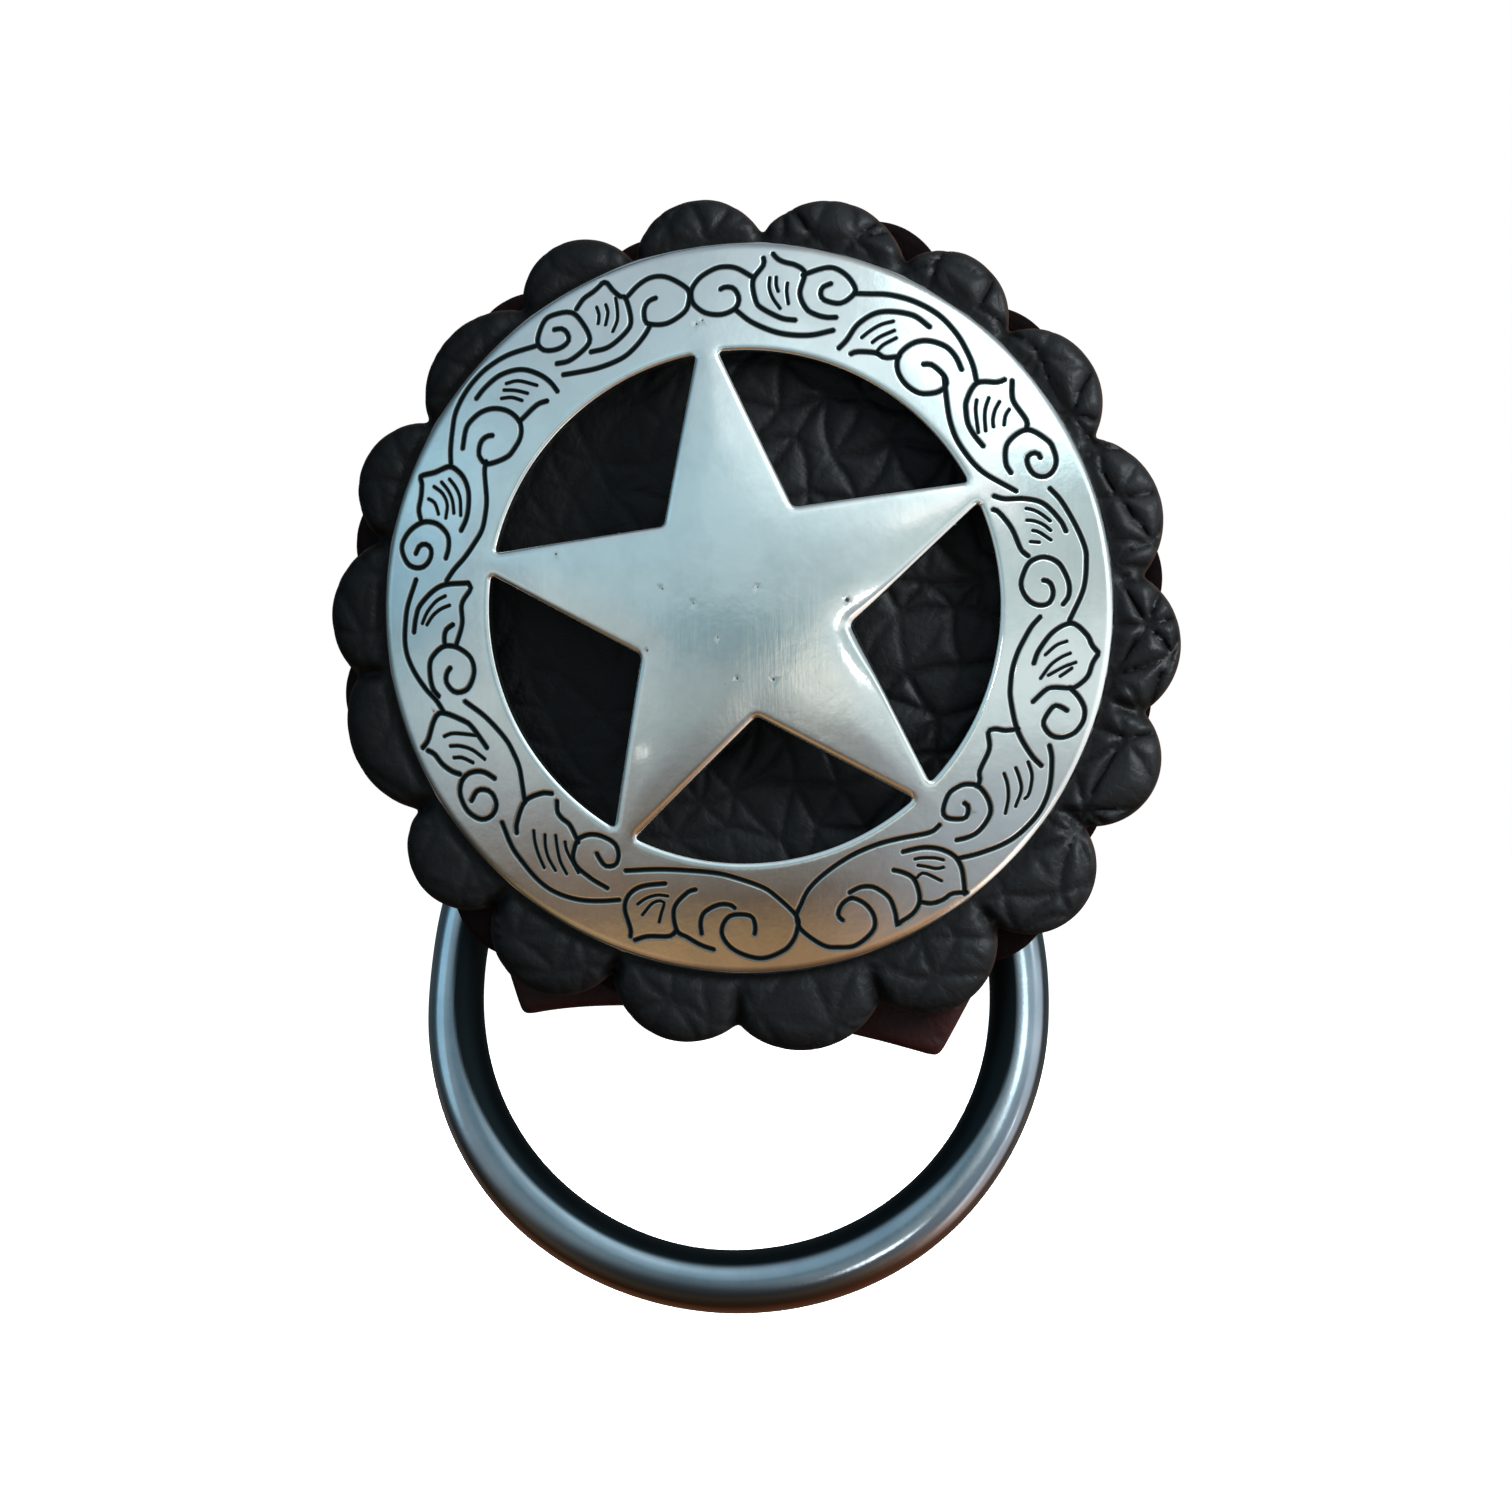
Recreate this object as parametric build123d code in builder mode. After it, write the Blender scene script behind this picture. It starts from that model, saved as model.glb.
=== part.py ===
from build123d import *
from math import asin, cos, degrees, radians, sin, sqrt
import os

# A domed star concho pinned through two scalloped leather layers and a tab, with a ring
# hanging from a folded strap behind them. Millimetres. +Z is up and the front faces -Y.
# The origin is on the post's axis, in the plane where the post's shoulder seats.

# Concho: a domed casting
concho_radius = 38.1
dome_rise = 8.5
rim_height = 1.4
rim_round = 0.6
dome_wall = 2.2
boss_radius = 5.0

# Star: what five openings leave standing inside the band
star_points = 5
star_turn = 26.2
window_radius = 26.4
star_waist = 11.45
tip_width = 2.4
window_corner = 0.5

# Leather rosette, two layers from one scallop die
rosette_radius = 44.65
lobe_count = 18
lobe_radius = 7.65
lobe_turn = -2.0
rosette_shift_x = 0.8
rosette_shift_z = -1.65
front_leather = 3.0
front_round = 1.0
notch_round = 0.5
back_leather = 2.0

# Back layer, hand set: bearing of each lobe and its reach as a share of rosette_radius
BACK_LOBES = [
    # bearing_deg, reach
    (8, 0.955),
    (28, 0.900),
    (47, 0.958),
    (71, 0.995),
    (88, 0.905),
    (107, 0.950),
    (130, 0.982),
    (148, 0.900),
    (166, 0.984),
    (191, 1.000),
    (208, 0.900),
    (228, 1.000),
    (249, 0.930),
    (267, 0.930),
    (288, 0.930),
    (310, 0.982),
    (328, 0.925),
    (347, 0.940),
]

# Tab: a flat leather piece hung from the post, wider at its shoulders than at its foot
tab_leather = 2.0
tab_lean = 5.9
tab_shift = 2.4
tab_foot_half = 22.0
tab_foot_drop = 44.85
tab_foot_hollow = 2.6
tab_shoulder_half = 25.6
tab_shoulder_drop = 36.0
tab_top_half = 13.0
tab_top_rise = 11.0
tab_corner = 1.2

# Ring and the strap folded round its wire
ring_wire = 6.35
ring_bore = 55.2
ring_lean = 3.45
strap_width = 12.0
strap_leather = 1.6
strap_top_rise = 9.0
strap_corner = 2.0
strap_bend = 1.35
fold_gap = 0.2
wire_clearance = 0.3
loop_to_shoulder = 0.6
loop_to_seat = 0.2

# Post: one turned piece through everything
tip_radius = 2.0
tip_length = 4.5
barrel_radius = 2.5
shoulder_radius = 4.0
pin_length = 4.0
screw_bore_radius = 1.65
screw_bore_depth = 6.0

# Clearances
layer_gap = 0.1
hole_clearance = 0.15
tip_clearance = 0.1
bore_spare_depth = 0.5

# Loop of the strap: wide enough for the curved wire to turn inside its straight channel
ring_mid = (ring_bore + ring_wire) / 2
wire_radius = ring_wire / 2
half_strap = strap_width / 2
wire_sag = ring_mid - sqrt((ring_bore / 2) ** 2 - half_strap**2)
loop_inner = wire_sag + wire_clearance
loop_mid = loop_inner + strap_leather / 2
leg_offset = loop_inner - fold_gap - strap_leather / 2
bend_offset = leg_offset - strap_bend
bend_rise = sqrt((loop_mid + strap_bend) ** 2 - bend_offset**2)
bend_angle = degrees(asin(bend_rise / (loop_mid + strap_bend)))
ring_drop = shoulder_radius + loop_to_shoulder + bend_rise

# The stack, as distances forward of the seat plane
wire_forward = loop_to_seat + strap_leather + loop_inner
back_leg_rear = wire_forward + loop_inner - fold_gap - strap_leather
front_leg_front = wire_forward + loop_inner + strap_leather
tab_rear = front_leg_front + layer_gap
back_layer_rear = tab_rear + tab_leather + layer_gap
front_layer_rear = back_layer_rear + back_leather + layer_gap
rim_rear = front_layer_rear + front_leather + layer_gap
dome_top = rim_rear + dome_rise

# Planes: the front view, a turning profile whose +y runs forward, and the ring's leaning frame
front = Plane.XZ
profile = Plane(origin=(0, 0, 0), x_dir=(1, 0, 0), z_dir=(0, 0, -1))
across = (cos(radians(ring_lean)), 0, -sin(radians(ring_lean)))
backwards_across = tuple(-value for value in across)
strap_side = Plane(origin=(0, 0, 0), x_dir=(0, -1, 0), z_dir=backwards_across)
turning_axis = Axis((0, 0, 0), (0, 1, 0))

# Dome as a share of a sphere
cap_height = dome_rise - rim_height
sphere_radius = (concho_radius**2 + cap_height**2) / (2 * cap_height)
sphere_centre = dome_top - sphere_radius
inner_sphere = sphere_radius - dome_wall
inner_foot = sqrt(inner_sphere**2 - (rim_rear - sphere_centre) ** 2)


def on_sphere(radius, reach):
    """Distance forward of the seat plane of a point of a dome surface at a given reach."""
    return sphere_centre + sqrt(radius**2 - reach**2)


def polar(reach, bearing):
    """Front-view point at a reach and bearing from the middle."""
    return (reach * cos(radians(bearing)), reach * sin(radians(bearing)))


def window_outline():
    """One star opening: two arm edges from the waist point and an arc of the band."""
    half_step = 180 / star_points
    corner_bearing = half_step - degrees(asin(tip_width / 2 / window_radius))
    waist = (star_waist, 0)
    low = polar(window_radius, -corner_bearing)
    high = polar(window_radius, corner_bearing)
    Line(waist, low)
    ThreePointArc(low, (window_radius, 0), high)
    Line(high, waist)


def scallops(lobes):
    """Leather outline: a disc with round lobes, each given by its bearing and its reach."""
    notch_bearing = radians(180 / lobe_count)
    lobe_centre = rosette_radius - lobe_radius
    disc = lobe_centre * cos(notch_bearing)
    with Locations((rosette_shift_x, rosette_shift_z)):
        Circle(disc)
    for bearing, reach in lobes:
        x, z = polar(reach * rosette_radius - lobe_radius, bearing)
        with Locations((rosette_shift_x + x, rosette_shift_z + z)):
            Circle(lobe_radius)


# Concho
with BuildPart() as concho:
    with BuildSketch(profile) as dome_profile:
        with BuildLine():
            Line((0, dome_top - dome_wall), (0, dome_top))
            RadiusArc((0, dome_top), (concho_radius, rim_rear + rim_height), sphere_radius)
            Line((concho_radius, rim_rear + rim_height), (concho_radius, rim_rear))
            Line((concho_radius, rim_rear), (inner_foot, rim_rear))
            RadiusArc((inner_foot, rim_rear), (0, dome_top - dome_wall), -inner_sphere)
        make_face()
        rim_corner = dome_profile.vertices().group_by(Axis.X)[-1].sort_by(Axis.Y)[-1]
        fillet(rim_corner, radius=rim_round)
    revolve(axis=turning_axis)
    with BuildSketch(front.offset(rim_rear)):
        Circle(boss_radius)
    extrude(amount=on_sphere(inner_sphere, boss_radius) + dome_wall / 2 - rim_rear)
    with BuildSketch(front.offset(rim_rear)):
        Circle(tip_radius + tip_clearance)
    extrude(amount=tip_length + bore_spare_depth, mode=Mode.SUBTRACT)
    with BuildSketch(front.offset(rim_rear)):
        with PolarLocations(0, star_points, start_angle=star_turn + 180 / star_points):
            with BuildSketch(mode=Mode.PRIVATE) as window:
                with BuildLine():
                    window_outline()
                make_face()
                fillet(window.vertices(), radius=window_corner)
            add(window.sketch)
    extrude(amount=dome_rise, mode=Mode.SUBTRACT)
concho.part.label = "concho"

# Front leather layer
with BuildPart() as rosette_front:
    with BuildSketch(front.offset(front_layer_rear)) as front_outline:
        scallops([(lobe_turn + 360 / lobe_count * n, 1.0) for n in range(lobe_count)])
        fillet(front_outline.vertices(), radius=notch_round)
    extrude(amount=front_leather)
    face = rosette_front.faces().sort_by(Axis.Y)[0]
    fillet(face.edges(), radius=front_round)
    with BuildSketch(front.offset(front_layer_rear)):
        Circle(barrel_radius + hole_clearance)
    extrude(amount=front_leather, mode=Mode.SUBTRACT)
rosette_front.part.label = "rosette_front"

# Back leather layer
with BuildPart() as rosette_back:
    with BuildSketch(front.offset(back_layer_rear)):
        scallops(BACK_LOBES)
        Circle(barrel_radius + hole_clearance, mode=Mode.SUBTRACT)
    extrude(amount=back_leather)
rosette_back.part.label = "rosette_back"

# Leather tab, leaning a little, with a hollowed foot
with BuildPart() as backing_tab:
    with BuildSketch(front.offset(tab_rear)):
        with BuildSketch(mode=Mode.PRIVATE) as tab_outline:
            with BuildLine():
                foot_left = (tab_shift - tab_foot_half, -tab_foot_drop)
                foot_right = (tab_shift + tab_foot_half, -tab_foot_drop)
                shoulder_right = (tab_shift + tab_shoulder_half, -tab_shoulder_drop)
                shoulder_left = (tab_shift - tab_shoulder_half, -tab_shoulder_drop)
                top_right = (tab_top_half, tab_top_rise)
                top_left = (-tab_top_half, tab_top_rise)
                ThreePointArc(foot_left, (tab_shift, tab_foot_hollow - tab_foot_drop), foot_right)
                Polyline(foot_right, shoulder_right, top_right, top_left, shoulder_left, foot_left)
            make_face()
            fillet(tab_outline.vertices(), radius=tab_corner)
        with Locations(Location((0, 0, 0), (0, 0, -tab_lean))):
            add(tab_outline.sketch)
        Circle(barrel_radius + hole_clearance, mode=Mode.SUBTRACT)
    extrude(amount=tab_leather)
backing_tab.part.label = "backing_tab"

# Strap: down the front, round the wire, up the back and in against the front leg
with BuildPart() as ring_strap:
    with BuildSketch(strap_side) as strap_profile:
        with BuildLine():
            front_leg = wire_forward + loop_mid
            back_leg = wire_forward + leg_offset
            bend_centre = (back_leg - strap_bend, bend_rise - ring_drop)
            Line((front_leg, strap_top_rise), (front_leg, -ring_drop))
            CenterArc((wire_forward, -ring_drop), loop_mid, 0, bend_angle - 360)
            CenterArc(bend_centre, strap_bend, bend_angle - 180, 180 - bend_angle)
            Line((back_leg, bend_rise - ring_drop), (back_leg, strap_top_rise))
        trace(line_width=strap_leather)
    extrude(amount=half_strap, both=True)
    top_corners = ring_strap.edges().filter_by(Axis.Y).sort_by(Axis.Z)[-4:]
    fillet(top_corners, radius=strap_corner)
    with BuildSketch(front):
        Circle(barrel_radius + hole_clearance)
    extrude(amount=front_leg_front + layer_gap, mode=Mode.SUBTRACT)
ring_strap.part.label = "ring_strap"

# Ring, hanging in the strap's loop
hang = ring_drop + ring_mid
ring_x = -hang * sin(radians(ring_lean))
ring_z = -hang * cos(radians(ring_lean))
ring_plane = Plane(origin=(ring_x, -wire_forward, ring_z), x_dir=across, z_dir=(0, -1, 0))
with BuildPart(ring_plane) as ring:
    Torus(ring_mid, wire_radius)
ring.part.label = "ring"

# Post: screw tip, barrel through the leather, shoulder down to the seat, free pin behind
with BuildPart() as post:
    with BuildSketch(profile):
        with BuildLine():
            shoulder_front = back_leg_rear - layer_gap
            barrel_front = rim_rear - layer_gap
            tip_front = rim_rear + tip_length
            Polyline(
                (0, tip_front),
                (tip_radius, tip_front),
                (tip_radius, barrel_front),
                (barrel_radius, barrel_front),
                (barrel_radius, shoulder_front),
                (shoulder_radius, shoulder_front),
                (shoulder_radius, 0),
                (barrel_radius, 0),
                (barrel_radius, -pin_length),
                (screw_bore_radius, -pin_length),
                (screw_bore_radius, screw_bore_depth - pin_length),
                (0, screw_bore_depth - pin_length),
                close=True,
            )
        make_face()
    revolve(axis=turning_axis)
post.part.label = "post"

os.makedirs("parts", exist_ok=True)
export_step(concho.part, "parts/concho.step")
export_step(rosette_front.part, "parts/rosette_front.step")
export_step(rosette_back.part, "parts/rosette_back.step")
export_step(backing_tab.part, "parts/backing_tab.step")
export_step(ring_strap.part, "parts/ring_strap.step")
export_step(ring.part, "parts/ring.step")
export_step(post.part, "parts/post.step")
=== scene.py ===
import bpy
import math
import numpy as np
from functools import partial
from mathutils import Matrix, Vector
from mathutils.geometry import delaunay_2d_cdt
from mathutils.kdtree import KDTree


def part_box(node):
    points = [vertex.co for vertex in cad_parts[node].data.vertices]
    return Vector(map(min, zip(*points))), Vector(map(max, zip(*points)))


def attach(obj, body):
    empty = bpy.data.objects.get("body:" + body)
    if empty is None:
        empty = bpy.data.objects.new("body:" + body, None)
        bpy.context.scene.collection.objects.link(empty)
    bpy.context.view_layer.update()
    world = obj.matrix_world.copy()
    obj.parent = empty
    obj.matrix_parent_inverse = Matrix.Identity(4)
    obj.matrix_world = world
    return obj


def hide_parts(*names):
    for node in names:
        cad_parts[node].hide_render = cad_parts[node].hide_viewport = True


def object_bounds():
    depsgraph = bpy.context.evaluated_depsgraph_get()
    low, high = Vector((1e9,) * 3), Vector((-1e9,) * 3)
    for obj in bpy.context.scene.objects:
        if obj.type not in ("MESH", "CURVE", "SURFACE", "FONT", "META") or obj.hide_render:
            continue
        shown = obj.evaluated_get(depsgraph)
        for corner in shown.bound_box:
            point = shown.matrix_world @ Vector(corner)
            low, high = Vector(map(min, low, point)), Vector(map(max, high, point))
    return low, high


# Star concho on a scalloped leather rosette, with a ring hanging behind it.
# Lengths are in millimetres and are turned to metres where a mesh is made. A mesh is worked
# out in the front view: across to the right, up, and forward out of the leather to the viewer.

MM = 0.001

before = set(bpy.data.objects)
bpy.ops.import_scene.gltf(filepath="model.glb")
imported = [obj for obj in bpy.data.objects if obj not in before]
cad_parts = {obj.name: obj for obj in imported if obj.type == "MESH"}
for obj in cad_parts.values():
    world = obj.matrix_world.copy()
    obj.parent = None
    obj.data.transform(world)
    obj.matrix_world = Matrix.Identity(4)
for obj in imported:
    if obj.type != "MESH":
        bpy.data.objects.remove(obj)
cad_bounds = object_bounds()

# Concho, as in the solid
rim_height = 1.4
dome_wall = 2.2
boss_radius = 5.0
star_points = 5
star_turn = 26.2
window_radius = 26.4
star_waist = 11.45
tip_width = 2.4

# Rounded edges of the casting
edge_round_width = 0.8
edge_round_drop = 0.45
shoulder_width = 4.0
shoulder_drop = 0.12
rim_round_width = 0.65
rim_round_drop = 0.6

# Corner of the star's right waist, worn down by hands, and the middle where a cloth wiped it
worn_corner = (11.6, -3.2)
worn_reach = 4.2
worn_width = 2.1
worn_drop = 0.6
wiped_middle = (1.0, -3.0)
wiped_reach = 9.0

# Engraving cut into the band, shallower toward the foot
main_cut_width = 0.62
vein_cut_width = 0.44
main_cut_depth = 0.2
vein_cut_depth = 0.14
low_cut_share = 0.4
low_cut_levels = (-35.0, -22.0)

# Lines that the casting's net follows: insets from an edge, shares of a cut's half width or of
# a pit's radius, then spacings and counts
rim_insets = (0.0, 0.08, 0.22, 0.45, 0.9, 1.1)
window_insets = (0.0, 0.03, 0.09, 0.2, 0.38, 0.6, 0.85, 1.3)
cut_ring_shares = (0.45, 0.8, 1.1, 1.45)
pit_ring_shares = (0.3, 0.65, 1.0)
rim_margin = 1.3
window_spacing = 0.28
cut_spacing = 0.42
sample_spacing = 0.06
concho_net_gap = 0.85
net_row_share = 0.866
window_smoothing = 3
boss_wall_step = 0.1
dome_ring_gap = 2.5
dome_steps_per_mm = 2.5
rim_steps = 440
window_arc_steps = 60
foot_steps = 96
pit_steps = 12

# Kinds of result that the triangulation gives, and how near points are joined
everything_inside_hull, inside_edges = 0, 1
joining_distance = 1e-5

# Engraved lines: vines, curls and leaf edges, each as (bearing_deg, reach_mm) on the dome
MAIN_CUTS = [
    [(287.4, 33.9), (286.9, 33.2), (288.2, 32.3), (290.1, 32), (291.4, 32.5), (292.4, 33.4),
     (292.7, 34.6), (292, 35.7), (290.2, 36.4), (287.8, 36.8), (285.4, 36.5), (283, 35.9),
     (280, 33.9), (279.6, 32.4), (280.9, 31.2), (282.7, 30), (285.3, 29.1), (288.8, 28.4),
     (292.3, 28), (295.7, 27.9), (299.6, 28.1), (303.6, 28.7), (309.4, 30.1), (311.9, 30.2)],
    [(299.6, 31.2), (300.9, 31.9), (301.9, 32.9), (301.6, 34.2), (300.6, 35.4), (298.7, 36.1),
     (296.2, 36.3), (295.5, 36.5), (296.2, 35.2), (296.5, 33.6), (295.6, 32.4), (294.5, 31.7),
     (292.6, 31.3), (290.3, 31.4)],
    [(307.4, 37.3), (308.4, 36.4), (309.8, 34.9), (310.1, 33.6), (309.3, 32.4), (307.8, 31.4),
     (305.9, 30.7), (303, 30.1)],
    [(307.8, 37.3), (305.8, 36.5), (304.2, 36.5), (302.3, 36.2), (301, 35.6)],
    [(318.3, 30.4), (318.2, 31), (316.3, 31.5), (314, 30.3), (314.3, 29.4), (317.5, 28.6),
     (319.8, 28.8), (321.4, 29.3), (322.5, 30.3), (322.2, 31.4), (321.3, 32.4), (320, 33.1),
     (317.9, 33.4), (315.7, 33.4), (313.8, 33), (312.3, 32.5)],
    [(335.5, 34.5), (333.7, 35.3), (329.9, 36.4), (326.9, 36.9), (324, 37), (320.2, 36.7),
     (317.1, 36.1), (313.3, 35), (310.2, 34)],
    [(335.9, 30.9), (334.6, 29.8), (334, 28.8), (332.8, 28.3), (330, 29.2), (326.1, 29.5),
     (324.7, 29.7), (323.6, 30.2), (322.4, 30.3)],
    [(331.8, 34.7), (332.7, 33.2), (335.6, 30.9), (340.7, 29.1), (343.7, 28.6), (347.1, 28.4),
     (350.5, 28.6), (353.5, 29.1), (356, 29.7), (357.9, 30.5)],
    [(342.1, 34.9), (342.4, 34.1), (342, 33.4), (339.1, 33), (337.8, 33.5), (337.2, 34.4),
     (337.6, 35.4), (338.9, 36.3), (340.4, 36.7), (341.8, 36.8), (343.4, 36.5), (344.9, 35.6),
     (346, 34.5)],
    [(352.6, 36.7), (353.6, 36), (355.2, 35.4), (357, 33.8), (355.4, 32), (351.6, 30.7),
     (348.8, 30.4)],
    [(352.2, 36.7), (350.8, 36.3), (348.7, 36.1), (347.1, 35.5), (346, 34.7), (345.3, 32.9),
     (344.5, 32.2), (341.7, 31.3)],
    [(21.1, 33.7), (18.8, 34.3), (15.8, 34.8), (12.4, 35.3), (9.5, 35.6), (7.5, 35.5),
     (4.5, 35.2), (1.9, 34.7), (-2.5, 33.5)],
    [(4.9, 30.9), (4.5, 31.5), (3.3, 31.8), (2, 31.8), (0.6, 31.4), (0.1, 30.6), (0.5, 29.7),
     (1.9, 29), (4.3, 28.6), (6.7, 29), (8.6, 29.7), (9.3, 30.8), (9, 31.7), (7.9, 32.6),
     (6.3, 33.1), (4, 33.5), (1.8, 33.4), (0.3, 32.8)],
    [(23.6, 28.1), (22.2, 29), (20.8, 31), (18.8, 32.6), (15.2, 33.7), (13.1, 34)],
    [(21, 27.5), (19.9, 28), (16, 28.7), (11.5, 29.1), (9.9, 29.7)],
    [(48.9, 31.4), (47.1, 30.5), (43.4, 29), (40.9, 28.3), (37.8, 27.8), (34.3, 27.7),
     (30.9, 27.9), (27.9, 28.5), (22.8, 30.4)],
    [(26.6, 34.1), (27.4, 34.1), (27.9, 33.7), (27.9, 33.1), (27.1, 32.7), (25.5, 32.6),
     (24.1, 32.9), (23.3, 33.7), (23.6, 34.6), (24.9, 35.4), (26.9, 35.7), (28.7, 35.6),
     (32, 34.3), (31.7, 31.9), (28.6, 30.7), (26.4, 30.7)],
    [(41.1, 35.6), (41.6, 34.8), (43.8, 33.2), (42.7, 31.2), (40.9, 30.3), (38.9, 29.7),
     (36.4, 29.5), (33.6, 29.6)],
    [(40.2, 36.1), (38.2, 35.1), (36.8, 34.8), (33.4, 34.8), (32.3, 34.4)],
    [(70.7, 34.3), (68.3, 34.8), (65.4, 35.5), (61.9, 36), (58.4, 36.2), (55.4, 36.1),
     (51.9, 35.6), (48.9, 34.9), (46.4, 34.2), (44.3, 33.4)],
    [(53.4, 31), (52, 31.5), (48.9, 31.4), (47.5, 30.8), (47.6, 29.9), (48.6, 29.1),
     (50.3, 28.4), (52.8, 28.2), (55.3, 28.5), (57.2, 29.2), (58.2, 30.3), (57.9, 31.5),
     (56.8, 32.6), (55, 33.4), (52.2, 33.9), (49.7, 33.7), (47.4, 33.1)],
    [(69.7, 28.3), (68.8, 29.4), (67.9, 31.5), (65.2, 33.5), (60.3, 34.7), (56.5, 34.6)],
    [(66.9, 28.2), (65.8, 28.7), (62.4, 29.4), (60.4, 29.4), (58, 30.3)],
    [(75.1, 34.6), (76.3, 34), (76.3, 33.2), (75.2, 32.7), (72.3, 32.9), (70.7, 34.4),
     (71.6, 35.3), (73.4, 36), (75.5, 36.3), (77.4, 35.9), (80.1, 34.9)],
    [(87.1, 36.3), (87, 35.5), (88.6, 33.8), (87.9, 31.7), (86.7, 30.9), (82.6, 30), (79.8, 30)],
    [(85.6, 36.8), (84.8, 36.3), (83.6, 36), (81.5, 35.8), (79.9, 35.1), (80, 32.9),
     (78.2, 31.4), (76.1, 31), (74.1, 31), (72.3, 31.3)],
    [(91.7, 30.7), (88.2, 29.3), (82.5, 28.4), (76.5, 28.7), (72, 29.9)],
    [(94.4, 33), (93.5, 33.2), (92, 33), (91.1, 32.1), (91.2, 31.3), (92.1, 30.7), (94.1, 30.3),
     (96.3, 30.4), (98.2, 30.9), (99.7, 32), (99.6, 33.3), (98.1, 34.4), (96, 35.1),
     (94.1, 35.4), (91.6, 35.2), (88.7, 34.2)],
    [(106.1, 33.4), (107.5, 33.3), (108.6, 32.7), (109.1, 31.8), (108.8, 31), (105.4, 30.4),
     (101.6, 31.1), (100.4, 32.1), (100.1, 33.3), (101.6, 34.4), (103.8, 35.4), (106.2, 35.7),
     (108.6, 35.3), (110.7, 34.6)],
    [(128, 30.6), (125.6, 29.9), (122.1, 29.1), (118.5, 28.7), (115.4, 28.7), (112.5, 29.2),
     (110, 30), (108.6, 30.7)],
    [(119.6, 35.8), (117.8, 36.4), (115.8, 36.6), (114, 37), (113.9, 37.1), (113.2, 36.8),
     (112.8, 35.9), (112, 34.9), (111.2, 34.4), (111.6, 32.1), (113.1, 31.1), (117.5, 30.4),
     (121.1, 30.9)],
    [(124.6, 35.2), (123.4, 34.8), (123, 34.1), (123.5, 33.3), (125, 33.1), (126.7, 33.4),
     (128.1, 34.1), (128.2, 35.1), (126.8, 36), (124.8, 36.7), (122.9, 36.5), (120.9, 35.9),
     (120, 34.9), (119.8, 32.7), (121, 31.7), (125.2, 31.4), (127.7, 32)],
    [(128.8, 35), (132.9, 36.2), (136, 36.8), (138.9, 37.1), (142.4, 37.1), (146, 36.7),
     (148.9, 35.9), (151.9, 35), (153.9, 34.3)],
    [(142.2, 35.7), (139.9, 35.7), (136.9, 35.4), (134.3, 34.6), (132.6, 33.6), (131.3, 32.1),
     (130.8, 30.8), (130.9, 29.6)],
    [(140.3, 30.3), (135.8, 30.1), (133.7, 29.6)],
    [(145.7, 31.8), (146.5, 32.3), (147.9, 32.5), (149.5, 32.2), (150.5, 31.7), (150.8, 30.6),
     (147.8, 29.2), (145.3, 29), (142.7, 29.2), (140.8, 30), (140.2, 31.1), (140.5, 32.3),
     (141.7, 33.5), (143.4, 34.3), (145.5, 34.7), (147.4, 34.7), (150.6, 33.9)],
    [(150.6, 30.9), (152.5, 30.5), (157, 29.1), (160, 28.6), (163.6, 28.4), (167, 28.9),
     (170, 29.6), (172.5, 30.5), (174.8, 31.2)],
    [(164.7, 35.3), (163.2, 35.8), (161, 36), (159, 36.4), (157.9, 36.8), (156.4, 35.5),
     (154.5, 34.3), (154.6, 33.1), (155.5, 32.1), (157.3, 31.2), (160, 30.6), (162.5, 30.4),
     (164.8, 30.6)],
    [(170.6, 35), (169.1, 34.7), (168.7, 34), (169.4, 33.4), (171, 33.3), (172.5, 33.8),
     (173, 34.7), (172.5, 35.7), (170.8, 36.5), (169.3, 36.7), (167.4, 36.3), (165.9, 35.6),
     (164.9, 34.7), (164.7, 33.5), (165.4, 32.5), (166.6, 31.8), (168.6, 31.5), (170.6, 31.6)],
    [(199, 33.3), (196.6, 33.7), (194.1, 34.5), (191, 35.3), (188.1, 35.8), (185.5, 35.9),
     (182.5, 35.7), (179.5, 35.4), (175, 34.6)],
    [(184.1, 34.8), (181.6, 34.5), (179.2, 33.9), (175.9, 31.8), (174.9, 28.8)],
    [(187.5, 30.3), (183.3, 29.4), (179.3, 29.4), (176.2, 28.5), (175.2, 28.7)],
    [(187.2, 31.5), (185.8, 31.5), (184.2, 31.2), (183.3, 30.4)],
    [(191.5, 31.3), (192.3, 31.8), (193.8, 32.1), (195.4, 31.8), (196.4, 31.2), (196.4, 30.1),
     (195, 29.3), (192.9, 28.8), (190.5, 28.9), (188.7, 29.6), (187.5, 30.6), (187.3, 31.7),
     (188.3, 32.7), (189.7, 33.4), (192.2, 33.7), (194.5, 33.7), (196, 33.3)],
    [(210.1, 34.5), (209, 35.1), (207.1, 35.7), (205, 36), (204, 36.5)],
    [(203.2, 36.9), (202.4, 36), (199.7, 34.6), (199, 33.5), (201.6, 31.7), (203.5, 31),
     (208.5, 30.5)],
    [(198.5, 30.7), (202.9, 29.2), (208.6, 28.3), (212.2, 28.3), (215.2, 28.6), (217.6, 29.2),
     (221.5, 30.5)],
    [(215, 35), (214.2, 33.8), (215.2, 32.9), (216.7, 32.7), (218.4, 33.1), (219.2, 34.1),
     (218.8, 35.1), (217.6, 35.7), (215.7, 36), (213.2, 35.7), (211.5, 34.9), (210.8, 33.8),
     (211.3, 32.7), (212.4, 32), (214.3, 31.5)],
    [(224.5, 33.4), (223.2, 32.6), (221.4, 30.4), (222.5, 28.5), (224.1, 27.7)],
    [(234.7, 29.8), (231.3, 28.9), (229.3, 28.9), (227.6, 28.7), (226, 27.9)],
    [(239, 29.7), (240.2, 30.1), (241.7, 30.4), (243.1, 30), (243.5, 29.5), (243, 28.6),
     (241.5, 27.9), (239.2, 27.8), (236.8, 28.1), (235.1, 28.8), (234.4, 29.9), (236, 31.8),
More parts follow.
